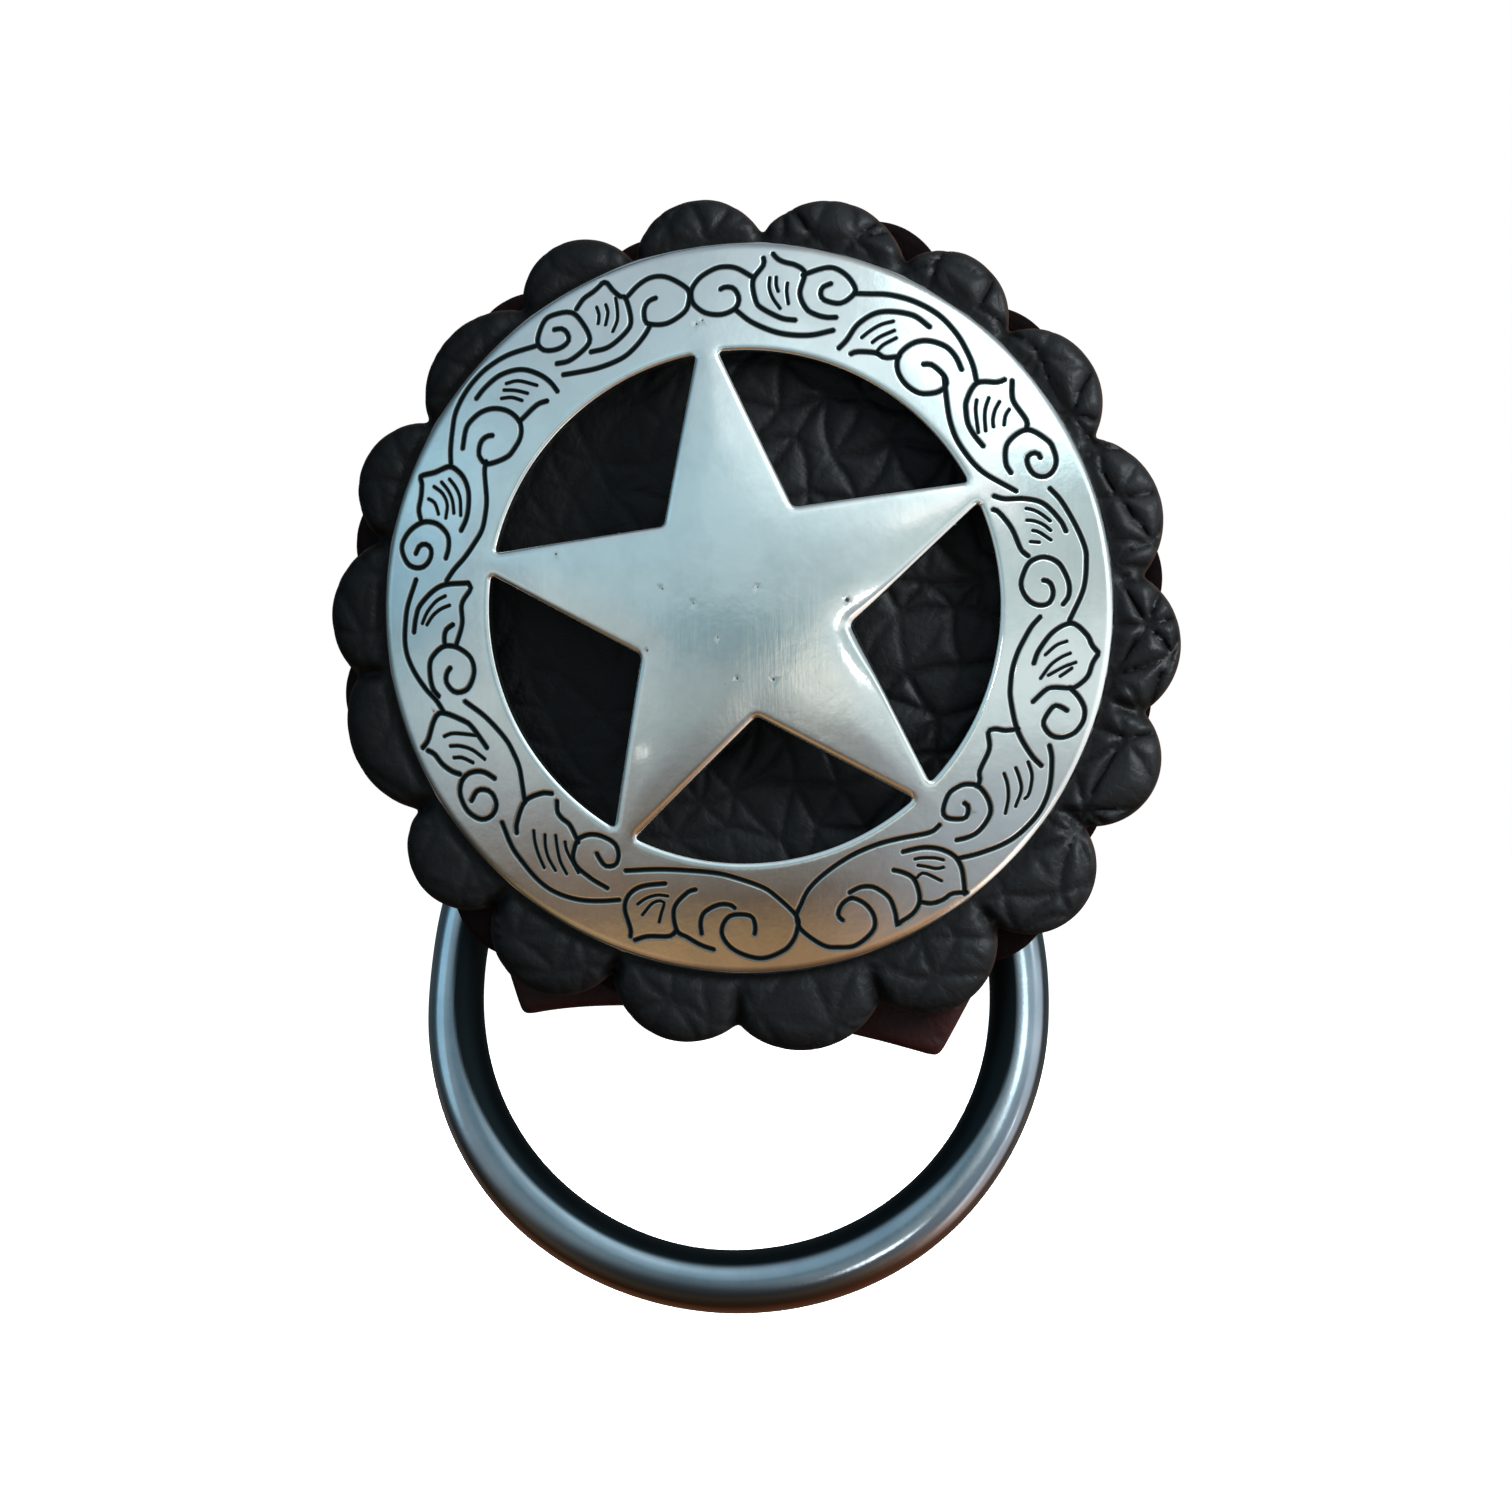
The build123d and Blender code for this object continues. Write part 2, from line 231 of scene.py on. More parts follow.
     (240.1, 32.3), (243.9, 32.4)],
    [(246.7, 33), (243.9, 33.9), (240.8, 34.8), (237.8, 35.4), (234.8, 35.7), (231.8, 35.6),
     (228.3, 35.2), (225.4, 34.8), (221.3, 33.8)],
    [(257.9, 34.3), (256.9, 35), (253.4, 35.6), (251.5, 36.4)],
    [(250.6, 36.2), (250.2, 35.4), (248.2, 33.7), (247.9, 32.4), (248.8, 31.3), (250.6, 30.5),
     (254.1, 29.7)],
    [(264.7, 35.6), (262.5, 35.3), (260, 34.7), (258, 34.2), (256.8, 32), (258.7, 30.1),
     (260.3, 29.6)],
    [(262.4, 34.1), (262, 33), (262.3, 32), (263.6, 31.3), (265.5, 30.8), (267.3, 30.8),
     (268.2, 31.1)],
    [(271.7, 33.8), (271.9, 33), (271.1, 31.9), (267.2, 32), (265.9, 33.8), (268.1, 35.5),
     (272.4, 36.4), (276.2, 35.8), (278.1, 34.9), (279.2, 33.8), (279.6, 32.4), (276.3, 30),
     (273.6, 28.9), (268, 27.9), (264, 27.6), (258, 27.8), (251.9, 28.5), (245.7, 29.9)],
]

# Veins inside the leaves, in the same form
VEIN_CUTS = [
    [(305.7, 34.8), (304, 33.1), (302.4, 33.1)],
    [(307.4, 33.8), (306.3, 33.5), (305.2, 32.8), (303.9, 32.1)],
    [(308.2, 33.2), (307.2, 32.5), (305.3, 31.7), (304.1, 31.4)],
    [(331.3, 33.3), (329.9, 34.2), (328.4, 34.7), (326.5, 35.1), (325.6, 35)],
    [(329.3, 32.5), (328.2, 33.3), (326.5, 34.2), (323.6, 34.7)],
    [(327.3, 31.8), (326, 32.7), (324, 33.6), (321.6, 34.3)],
    [(353.8, 33.4), (352.9, 32.4), (350.8, 31.4)],
    [(351.8, 33.9), (350.8, 33), (349.1, 32.1), (346.3, 31.4)],
    [(350.4, 34.6), (349.3, 33.5), (347.2, 32.1)],
    [(349.3, 34.3), (348.4, 33.8), (347.5, 33.3)],
    [(19, 30.7), (18.4, 31.3), (17.2, 32), (15.5, 32.7)],
    [(16.8, 30.4), (16.3, 31.1), (15.2, 31.9), (13.8, 32.5)],
    [(14.6, 30.7), (14, 31.3), (12.1, 32.3)],
    [(12.6, 30.2), (12.1, 31.1)],
    [(41.5, 32), (40.1, 31.2), (36.4, 30)],
    [(40.4, 33.1), (39.4, 32.2), (38.1, 31.5), (35.8, 30.7)],
    [(38.7, 33.7), (38, 32.8), (36.8, 32), (35.6, 31.6)],
    [(36.6, 34), (36.1, 33.3), (34.8, 32.6)],
    [(66.3, 30.2), (65.4, 31.2), (64.1, 32.3), (62.4, 33.2)],
    [(64, 30.2), (63.2, 31.1), (61.4, 32.4)],
    [(62.3, 29.7), (61.9, 30.5), (60.4, 31.8)],
    [(85.7, 34.2), (85.6, 33.1), (84.7, 32), (83.1, 31)],
    [(84.6, 34.3), (84.4, 33.4), (83.9, 32.8)],
    [(82.5, 33.8), (82.4, 32.9), (81.7, 31.6)],
    [(116.4, 34.9), (116.6, 34), (117.4, 33.2)],
    [(114.8, 34.7), (115, 33.8), (116.3, 32.7)],
    [(112.8, 34.9), (113.2, 33.8), (114, 32.6), (115.6, 31.7)],
    [(139.4, 33.5), (138, 32.7), (137.1, 31.6)],
    [(138, 33.9), (136.6, 32.9), (135.4, 31.7)],
    [(136.9, 34.2), (135, 33.4), (133.1, 31.6)],
    [(161, 35.1), (161.3, 34.3), (163, 33.5)],
    [(158.7, 35), (159.3, 33.8), (160.9, 32.9), (163.3, 32.6)],
    [(157.5, 34.4), (158.5, 33.3), (159.9, 32.5), (162, 31.9)],
    [(156.5, 33.7), (157.4, 32.7), (159, 31.8), (162, 31.1)],
    [(183, 33.3), (181.4, 32.6), (180.2, 31.7), (179.5, 30.7)],
    [(182.7, 33.8), (180.7, 33.2), (178.7, 32.2), (177.7, 31.2)],
    [(207.1, 34.2), (207.8, 33.4), (209.6, 32.6)],
    [(205, 34), (205.8, 33), (207.5, 32), (210.2, 31.3)],
    [(203, 34.2), (203.2, 33.1), (205.4, 30.9)],
    [(237.8, 32.5), (233.9, 31.3), (232.5, 30.6)],
    [(236.1, 33.3), (233.9, 32.6), (231.9, 31.6), (230.3, 30.7)],
    [(234.1, 33.7), (231.8, 33.1), (230, 32.3), (228.6, 31.4)],
    [(232.2, 34.2), (230, 33.5), (228, 32.7), (226.5, 31.9)],
    [(254.7, 33.8), (254.7, 32.8), (254.7, 31.6), (252.8, 32), (251.5, 33.6)],
    [(250.1, 32.7), (251.3, 31.8), (253.2, 31.1), (255.2, 30.9)],
]

# Casting pits with tarnish in them
PITS = [
    # across_mm, up_mm, radius_mm
    (10.9, 0.5, 0.3),
    (-0.3, -7.5, 0.15),
    (3.4, -7.6, 0.17),
    (-8.0, 1.7, 0.12),
    (-9.6, -4.6, 0.14),
    (-4.8, 0.2, 0.1),
    (-2.3, -3.3, 0.1),
    (1.8, 1.8, 0.1),
    (-19.2, 5.4, 0.14),
    (-4.9, 29.2, 0.15),
    (-4.3, 29.6, 0.13),
]

# Width, depth and lines of each kind of cut
CUTS = (
    (main_cut_width, main_cut_depth, MAIN_CUTS),
    (vein_cut_width, vein_cut_depth, VEIN_CUTS),
)
pit_depth_share = 0.35
pit_patina = 0.9

# Where a cut's or pit's wall rises and where its black ends, as shares of its half width
cut_wall_shares = (0.1, 1.15)
cut_black_shares = (0.7, 1.12)
pit_wall_shares = (0.1, 1.0)
pit_black_shares = (0.4, 1.2)

# Front leather layer, cut by hand round a scallop die: each lobe's circle
FRONT_LOBES = [
    # bearing_deg, reach_mm, radius_mm
    (-3.4, 44.2, 8.2), (17.7, 44.0, 8.7), (39.0, 44.2, 7.7), (58.7, 44.3, 6.9), (78.4, 44.9, 8.4),
    (98.6, 44.9, 7.1), (118.0, 45.0, 6.6), (137.1, 44.4, 9.2), (157.8, 44.9, 7.1),
    (178.3, 44.9, 8.6), (196.4, 44.7, 9.8), (217.6, 44.8, 6.7), (236.8, 45.1, 7.3),
    (258.6, 44.4, 7.9), (277.5, 44.8, 9.2), (298.0, 45.0, 7.6), (318.4, 45.0, 7.1),
    (338.3, 44.8, 7.1),
]
front_disc = 36.6

# Back leather layer, hand set, with lobes of one size
back_lobe_radius = 7.65
BACK_LOBES = [
    # bearing_deg, reach_mm
    (8, 42.6), (28, 40.2), (47, 42.8), (71, 44.4), (88, 40.4), (107, 42.4), (130, 43.8),
    (148, 40.2), (166, 43.9), (191, 44.65), (208, 40.2), (228, 44.65), (249, 41.5), (267, 41.5),
    (288, 41.5), (310, 43.8), (328, 41.3), (347, 42.0),
]
BACK_LOBES = [(*lobe, back_lobe_radius) for lobe in BACK_LOBES]
back_disc = 36.4
rosette_shift = (0.8, -1.65)

# Nets and cut edges of the leathers
lobe_bearings = 1440
outline_spacing = 0.35
outline_smoothing = 3
edge_samples = 0.05
front_net_gap = 0.42
back_layer_net_gap = 1.1
tab_net_gap = 1.0
punched_hole = 2.65
hole_steps = 24
hole_margin = 0.3
leather_margin = 1.25
leather_insets = (0.0, 0.15, 0.35, 0.65, 1.0)
back_net_area = 1.92
cut_shows_in = 0.3
cut_shows_by = 0.7
ROLLED_EDGE = (
    # share of the way down, inset_mm
    (0.4, -0.04),
    (0.8, 0.03),
    (0.95, 0.2),
    (1.0, 0.5),
)

# Milled hide: soft pads between creases that meet at shared points
hide_seed = 11
hide_reach = 60
pad_size = 5.2
pad_unevenness = 0.3
pad_rise = 0.85
pad_rise_width = 1.2
pad_fullness = 1.4
crease_bow = 0.1
crease_spacing = 0.08
deep_crease_depth = 0.4
deep_crease_width = 0.26
faint_crease_share = 0.3
faint_crease_depth = 0.12
faint_crease_width = 0.22
faint_crease_lead = 0.7
full_crease_shade = 0.32
notch_search = 6
notch_crease_length = 5.5
notch_crease_width = 0.75
notch_crease_depth = 1.1
notch_crease_full_share = 0.3

# How the front layer lies: ranges past the concho's rim, across and up, from none to full
puffed_past_rim = (-0.4, 2.0)
puffed_lift = 0.55
held_past_rim = (-3.0, -5.0)
held_drop = 1.1
held_pad_share = 0.55
rim_clearance = 0.5
most_lift_under_rim = 0.05
lobe_round_width = 3.0
lobe_round_drop = 1.7
milled_across = (-20.0, 14.0)
milled_up = (-44.0, -10.0)
least_milled = 0.3
# Painted shade over the left side, stronger higher up: ranges across and up, its least share and its
# added share
side_shade_across = (2.0, -24.0)
side_shade_up = (-30.0, 5.0)
least_side_shade = 0.42
more_side_shade = 0.33

# How the pressed layers lie
pressed_share = 0.3
pressed_round_width = 1.2
pressed_round_drop = 0.7

# Tab: corners of the leather before it is hollowed at the foot and leaned
tab_lean = 5.9
tab_foot_hollow = 2.6
tab_foot_skew = 0.85
tab_spacing = 0.4
tab_smoothing = 6
TAB_CORNERS = [
    # across_mm, up_mm
    (24.4, -44.85),
    (28.0, -36.0),
    (13.0, 11.0),
    (-13.0, 11.0),
    (-24.0, -36.0),
    (-19.9, -45.3),
]

# Ring
ring_mid = 30.775
wire_radius = 3.175
ring_lean = 3.45
section_power = 0.84
ring_steps = 300
wire_steps = 96
shape_and_shade_smoothing = 40
# Softness of the edge of the painted dark shade on the wire's inner side
inner_shade_softness = 0.05
# Softness of the edge of the painted grey shade on the wire's outer side, low down
lower_shade_softness = 0.12
# Painted warm reflection of the ground: how low, how far out and how far to the front it shows, and
# its least share
warm_reflection_below = (0.35, 0.95)
warm_reflection_share = (0.76, 0.9)
warm_reflection_ahead = (-0.3, 0.3)
least_warm_reflection = 0.1
RING_SHAPE_AND_SHADE = [
    # bearing_deg, outer_mm, inner_mm, dark_to, grey_from, grey: how far the hand-finished wire
    # strays from round, then shares of its face from the inside outward: painted dark shade up to
    # the one, and from the other painted grey shade by so much
    (0, -0.35, -0.3, 0.5, 0.8, 0.0),
    (30, 0.0, 0.0, 0.5, 0.8, 0.0),
    (150, -0.2, 0.0, 0.55, 0.8, 0.0),
    (174, -1.0, -0.3, 0.53, 0.8, 0.0),
    (192, -0.15, -0.1, 0.44, 0.8, 0.0),
    (204, 0.3, 0.02, 0.34, 0.8, 0.1),
    (222, 0.58, 0.0, 0.26, 0.7, 0.6),
    (240, 0.3, -0.15, 0.24, 0.54, 0.95),
    (258, 0.1, -0.22, 0.22, 0.46, 1.0),
    (278, 0.08, -0.42, 0.22, 0.5, 0.97),
    (298, 0.18, -0.38, 0.24, 0.68, 0.7),
    (312, 0.26, -0.3, 0.26, 0.8, 0.2),
    (330, 0.08, -0.2, 0.38, 0.8, 0.0),
    (348, 0.0, -0.22, 0.51, 0.8, 0.0),
    (360, -0.35, -0.3, 0.5, 0.8, 0.0),
]

# Strap
strap_width = 12.0
strap_leather = 1.6
strap_loop_radius = 4.935
strap_loop_drop = 10.626
strap_top_rise = 9.0
strap_bend_radius = 1.35
strap_edge_radius = 0.45
strap_end_taper = 0.16
strap_taper_steps = 5
strap_spacing = 0.35
strap_section_spacing = 0.45
strap_loop_steps = 40
strap_bend_steps = 10
burnish = 0.6
fold_gap = 0.2

# Sockets of the Mix node, several of which share a name
number_a, number_b, mixed_number = 2, 3, 0
colour_a, colour_b, mixed_colour = 6, 7, 2

# Floor: millimetres below the object, and half its width in metres
floor_drop = 30.0
half_floor = 3.0


def polar(bearing, reach):
    """Front-view points from bearings in degrees and reaches."""
    angle = np.radians(bearing)
    return np.stack([np.cos(angle) * reach, np.sin(angle) * reach], -1)


def circle(steps, radius):
    """A closed anticlockwise circle."""
    return polar(np.linspace(0, 360, steps, endpoint=False), radius)


def turned(points, degrees):
    """Front-view points turned anticlockwise about the origin."""
    turn = math.radians(degrees)
    rows = [[math.cos(turn), math.sin(turn)], [-math.sin(turn), math.cos(turn)]]
    return points @ np.array(rows)


def mm_box(node):
    """A CAD node's lowest and highest corner in millimetres, as (across, up, forward)."""
    low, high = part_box(node)
    return (
        np.array([low.x, low.z, -high.y]) / MM,
        np.array([high.x, high.z, -low.y]) / MM,
    )


def nearest(samples, points):
    """Distance from each point to the nearest of some closely spaced samples."""
    tree = KDTree(len(samples))
    for index, (across, up) in enumerate(samples):
        tree.insert((across, up, 0), index)
    tree.balance()
    return np.array([tree.find((across, up, 0))[2] for across, up in points])


def along(points, spacing, closed=False):
    """The same line with evenly spaced points."""
    if closed:
        points = np.vstack([points, points[:1]])
    steps = np.linalg.norm(np.diff(points, axis=0), axis=1)
    length = np.concatenate([[0], np.cumsum(steps)])
    count = max(2, int(round(length[-1] / spacing)) + 1)
    at = np.linspace(0, length[-1], count)
    line = np.stack([np.interp(at, length, column) for column in points.T], -1)
    return line[:-1] if closed else line


def curved(points, steps=12):
    """A smooth line through a few points."""
    points = np.array(points, float)
    if len(points) < 3:
        return points
    ends = np.vstack([2 * points[0] - points[1], points, 2 * points[-1] - points[-2]])
    share = np.linspace(0, 1, steps, endpoint=False)[:, None]
    pieces = []
    for a, b, c, d in zip(ends, ends[1:], ends[2:], ends[3:]):
        pieces.append(
            b
            + (c - a) * share / 2
            + (2 * a - 5 * b + 4 * c - d) * share**2 / 2
            + (3 * b - a - 3 * c + d) * share**3 / 2
        )
    return np.vstack([*pieces, points[-1:]])


def softened(loop, passes):
    """A closed line, or a list of values round one, with its corners rounded."""
    for _ in range(passes):
        loop = (np.roll(loop, 1, 0) + 2 * loop + np.roll(loop, -1, 0)) / 4
    return loop


def outward(loop):
    """Unit normals pointing out of a closed anticlockwise line."""
    step = np.roll(loop, -1, 0) - np.roll(loop, 1, 0)
    normal = np.stack([step[:, 1], -step[:, 0]], -1)
    return normal / np.linalg.norm(normal, axis=1)[:, None]


def ahead_and_side(line):
    """Unit directions along an open line and to the left of it."""
    ahead = np.gradient(line, axis=0)
    ahead /= np.linalg.norm(ahead, axis=1)[:, None]
    return ahead, np.stack([-ahead[:, 1], ahead[:, 0]], -1)


def rounding(distance, width, drop):
    """How far a rounded edge has dropped at a distance in from it."""
    share = np.clip(1 - distance / width, 0, 1)
    return drop * (1 - np.sqrt(1 - share**2))


def fade(value, start, end):
    """0 before start, 1 after end, smooth between."""
    share = np.clip((value - start) / (end - start), 0, 1)
    return share * share * (3 - 2 * share)


def bell(distance, width):
    """1 at no distance, falling off smoothly over a width."""
    return np.exp(-((distance / width) ** 2))


def inside(loop, points):
    """Whether each point lies inside a closed line."""
    result = np.zeros(len(points), bool)
    across, up = points.T
    for (x1, y1), (x2, y2) in zip(loop, np.roll(loop, -1, 0)):
        crosses = (y1 > up) != (y2 > up)
        if y1 != y2:
            result ^= crosses & (across < (x2 - x1) * (up - y1) / (y2 - y1) + x1)
    return result


def even_net(reach, gap):
    """A net of points over a square, in rows that are shifted by turns."""
    rows = np.arange(-reach, reach, gap * net_row_share)
    columns = np.arange(-reach, reach, gap)
    return np.array([(x + gap / 2 * (n % 2), y) for n, y in enumerate(rows) for x in columns])


class Drawing:
    """The lines and the points between them that a face is laid over, in the front view."""

    def __init__(self):
        self.points, self.edges, self.count = [], [], 0

    def scatter(self, points):
        """Adds loose points and gives their numbers."""
        self.points.append(points)
        self.count += len(points)
        return range(self.count - len(points), self.count)

    def line(self, points, closed=True):
        """Adds a line and gives the numbers of its points."""
        numbers = self.scatter(points)
        edges = list(zip(numbers, [*numbers[1:], numbers[0]]))
        self.edges += edges if closed else edges[:-1]
        return numbers

    def triangles(self, openings):
        """Triangles inside the outermost line, leaving the openings. Also gives where each point
        went, as joined points share a place."""
        points = [Vector(p) for p in np.vstack(self.points)]
        found = delaunay_2d_cdt(points, self.edges, [], inside_edges, joining_distance)
        plan = np.array([tuple(p) for p in found[0]])
        faces = np.array(found[2])
        moved = {old: new for new, olds in enumerate(found[3]) for old in olds}
        middles = plan[faces].mean(1)
        kept = np.ones(len(faces), bool)
        for opening in openings:
            kept &= ~inside(opening, middles)
        return plan, faces[kept], moved


def strip(upper, lower):
    """Quads between two closed lists of point numbers."""
    return list(zip(upper, lower, lower[1:] + lower[:1], upper[1:] + upper[:1]))


def grid_faces(rows, columns, wrap_rows=False):
    """Quads of a grid whose columns close on themselves."""
    left = np.arange(rows * columns).reshape(rows, columns)
    if wrap_rows:
        left = np.vstack([left, left[:1]])
    right = np.roll(left, -1, 1)
    return np.stack([left[:-1], right[:-1], right[1:], left[1:]], -1).reshape(-1, 4).tolist()


def add_piece(name, points, faces, material, body, node, masks, sharp=50):
    """Makes a mesh from front-view points in mm and puts it on its body in place of a CAD node."""
    points = np.asarray(points, float)
    mesh = bpy.data.meshes.new(name)
    placed = np.stack([points[:, 0], -points[:, 2], points[:, 1]], -1) * MM
    mesh.from_pydata(placed.tolist(), [], [list(face) for face in faces])
    for mask, values in masks.items():
        attribute = mesh.attributes.new(mask, "FLOAT", "POINT")
        attribute.data.foreach_set("value", np.asarray(values, np.float32))
    mesh.materials.append(material)
    mesh.validate()
    mesh.shade_smooth()
    mesh.set_sharp_from_angle(angle=math.radians(sharp))
    made = bpy.data.objects.new(name, mesh)
    bpy.context.scene.collection.objects.link(made)
    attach(made, body)
    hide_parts(node)
    return made


def colour(code):
    """An sRGB hex colour as linear red, green, blue and alpha."""
    shares = [int(code[place : place + 2], 16) / 255 for place in (1, 3, 5)]
    linear = [s / 12.92 if s <= 0.04045 else ((s + 0.055) / 1.055) ** 2.4 for s in shares]
    return (*linear, 1.0)


def add_node(tree, kind, output, inputs=None, **settings):
    """Adds a node with its settings and gives one of its outputs. An input given as another
    node's output is linked, a hex colour is turned to linear, and any other is set as it is."""
    made = tree.nodes.new("ShaderNode" + kind)
    for name, value in settings.items():
        setattr(made, name, value)
    for key, value in (inputs or {}).items():
        if isinstance(value, bpy.types.NodeSocket):
            tree.links.new(value, made.inputs[key])
        else:
            made.inputs[key].default_value = colour(value) if isinstance(value, str) else value
    return made.outputs[output]


def make_material(name, finish, *details):
    """A material with one of the finishes below. A finish lays its nodes and gives the surface."""
    material = bpy.data.materials.new(name)
    material.use_nodes = True
    tree = material.node_tree
    tree.nodes.clear()
    output = tree.nodes.new("ShaderNodeOutputMaterial")
    tree.links.new(finish(partial(add_node, tree), *details), output.inputs["Surface"])
    return material


def sized(add, size_mm, stretch=(1, 1, 1)):
    """Object coordinates in units of a real size, so a texture of scale 1 has that size."""
    scale = [1 / (size_mm * MM * s) for s in stretch]
    return add("Mapping", "Vector", {"Vector": add("TexCoord", "Object"), "Scale": scale})


def antique_silver(add):
    """Silver-plated zinc casting, polished satin, then darkened and wiped so black stays in the
    cuts. The eye gets a soft broad mirror, hairlines from the wiping cloth and small dark pits."""
    # Real hairlines are some hundredths of a millimetre wide, and are drawn coarser to show
    hairline_mm, cloud_mm, pit_spacing_mm = 0.35, 5.0, 1.3
    drawn_out = (1, 1, 18)
    rough = {"Scale": 1.0, "Roughness": 0.6}
    place = sized(add, hairline_mm, drawn_out)
    hairline = add("TexNoise", "Fac", {**rough, "Vector": place, "Detail": 3.0})
    place = sized(add, cloud_mm)
    cloud = add("TexNoise", "Fac", {**rough, "Vector": place, "Detail": 4.0})
    grit = sized(add, pit_spacing_mm)
    pit = add("TexVoronoi", "Distance", {"Vector": grit, "Scale": 1.0})
    pit_size = add("TexNoise", "Fac", {"Vector": grit, "Scale": 0.37, "Detail": 1.0})
    pit_reach = add(
        "MapRange",
        "Result",
        {"Value": pit_size, "From Min": 0.66, "From Max": 0.78, "To Max": 0.16},
    )
    pit_edge = add("Math", "Value", {0: pit_reach, 1: pit}, operation="SUBTRACT")
    pitted = add("MapRange", "Result", {"Value": pit_edge, "From Max": 0.05})
    patina = add("Attribute", "Fac", attribute_name="patina")
    stain = add("Math", "Value", {0: patina, 1: pitted}, operation="MAXIMUM")
    tarnish = add(
        "MapRange", "Result", {"Value": cloud, "From Min": 0.42, "From Max": 0.75, "To Max": 0.5}
    )
    silver = add(
        "Mix", mixed_colour, {0: tarnish, colour_a: "#f1f0ec", colour_b: "#d3d4d2"}, data_type="RGBA"
    )
    darkened = add(
        "Mix", mixed_colour, {0: stain, colour_a: silver, colour_b: "#1c2628"}, data_type="RGBA"
    )
    satin = add("MapRange", "Result", {"Value": hairline, "To Min": 0.1, "To Max": 0.22})
    dulled = add("Mix", mixed_number, {0: stain, number_a: satin, number_b: 0.62})
    wiped = add("Attribute", "Fac", attribute_name="wiped")
    streaks = add("MapRange", "Result", {"Value": wiped, "To Min": 0.12, "To Max": 0.6})
    brushed = add(
        "Bump", "Normal", {"Height": hairline, "Strength": streaks, "Distance": 0.02 * MM}
    )
    wavy = add(
        "Bump",
        "Normal",
        {"Height": cloud, "Strength": 0.5, "Distance": 0.09 * MM, "Normal": brushed},
    )
    surface = {"Base Color": darkened, "Metallic": 1.0, "Roughness": dulled, "Normal": wavy}
    return add("BsdfPrincipled", "BSDF", surface)


def pebbled_leather(add, face, crease, flesh, roughness, specular):
    """Drum-milled cowhide with a pigment finish: soft pebbles with a low broad sheen, fine
    wrinkles between them, and brown suede where it is cut and on its back. The crease colour is
    painted shade, laid on by the crease mask."""
    # Real pores and fibres are a tenth of a millimetre wide, and are drawn coarser to show
    pore_mm, wrinkle_mm, cloud_mm, fibre_mm = 0.75, 2.3, 14.0, 0.3
    pores = add("TexVoronoi", "Distance", {"Vector": sized(add, pore_mm), "Scale": 1.0})
    place = sized(add, wrinkle_mm)
    warp = add("TexNoise", "Color", {"Vector": place, "Scale": 1.0, "Detail": 2.0})
    bent = add("VectorMath", "Vector", {0: place, 1: warp}, operation="ADD")
    wrinkles = add(
        "TexVoronoi", "Distance", {"Vector": bent, "Scale": 1.0}, feature="DISTANCE_TO_EDGE"
    )
    line = add(
        "MapRange", "Result", {"Value": wrinkles, "From Max": 0.09}, interpolation_type="SMOOTHSTEP"
    )
    cloud, fibre = (
        add("TexNoise", "Fac", {"Vector": sized(add, size), "Scale": 1.0, "Detail": 3.0})
        for size in (cloud_mm, fibre_mm)
    )
    # Painted shade: the crease colour where the crease mask is high
    depth = add("Attribute", "Fac", attribute_name="crease")
    cut = add("Attribute", "Fac", attribute_name="cut")
    skin = add("Mix", mixed_colour, {0: depth, colour_a: face, colour_b: crease}, data_type="RGBA")
    worn = {"Value": cloud, "From Min": 0.3, "From Max": 0.7}
    tone = add("MapRange", "Result", {**worn, "To Min": 0.75, "To Max": 1.3})
    toned = add("VectorMath", "Vector", {0: skin, "Scale": tone}, operation="SCALE")
    shown = add("Mix", mixed_colour, {0: cut, colour_a: toned, colour_b: flesh}, data_type="RGBA")
    duller = {**worn, "To Min": roughness - 0.06, "To Max": roughness + 0.08}
    sheen = add("MapRange", "Result", duller)
    dull = add("Mix", mixed_number, {0: cut, number_a: sheen, number_b: 0.92})
    relief = {}
    for height, strength, deep_mm in ((pores, 0.35, 0.12), (line, 0.12, 0.14), (fibre, 0.15, 0.15)):
        relief |= {"Height": height, "Strength": strength, "Distance": deep_mm * MM}
        relief["Normal"] = add("Bump", "Normal", relief)
    surface = {"Base Color": shown, "Roughness": dull, "Normal": relief["Normal"]}
    return add("BsdfPrincipled", "BSDF", {**surface, "Specular IOR Level": specular})


def drawn_metal(add, bright, dark, roughness, streak, painted_light_masks):
    """Plated steel wire or bar, tumbled: a satin mirror, scuffs along it and darker worn patches.
    Each mark of painted shade and painted reflection is a mask of the mesh with its colour
    and roughness."""
    scuff_mm, patch_mm = 0.5, 5.0
    place = sized(add, scuff_mm, streak)
    scuff = add("TexNoise", "Fac", {"Vector": place, "Scale": 1.0, "Detail": 3.0})
    place = sized(add, patch_mm)
    patch = add("TexNoise", "Fac", {"Vector": place, "Scale": 1.0, "Detail": 4.0})
    worn = add("MapRange", "Result", {"Value": patch, "From Min": 0.35, "From Max": 0.7})
    tone = add("Mix", mixed_colour, {0: worn, colour_a: bright, colour_b: dark}, data_type="RGBA")
    satin = {"Value": scuff, "To Min": roughness - 0.05, "To Max": roughness + 0.08}
    shine = add("MapRange", "Result", satin)
    # Marks of painted shade and painted reflection, each mixed into the colour by its mask
    for mask, shade, dullness in painted_light_masks:
        share = add("Attribute", "Fac", attribute_name=mask)
        tone = add(
            "Mix", mixed_colour, {0: share, colour_a: tone, colour_b: shade}, data_type="RGBA"
        )
        shine = add("Mix", mixed_number, {0: share, number_a: shine, number_b: dullness})
    scuffed = add("Bump", "Normal", {"Height": scuff, "Strength": 0.08, "Distance": 0.03 * MM})
    uneven = add(
        "Bump",
        "Normal",
        {"Height": patch, "Strength": 0.3, "Distance": 0.1 * MM, "Normal": scuffed},
    )
    surface = {"Base Color": tone, "Metallic": 1.0, "Roughness": shine, "Normal": uneven}
    return add("BsdfPrincipled", "BSDF", surface)


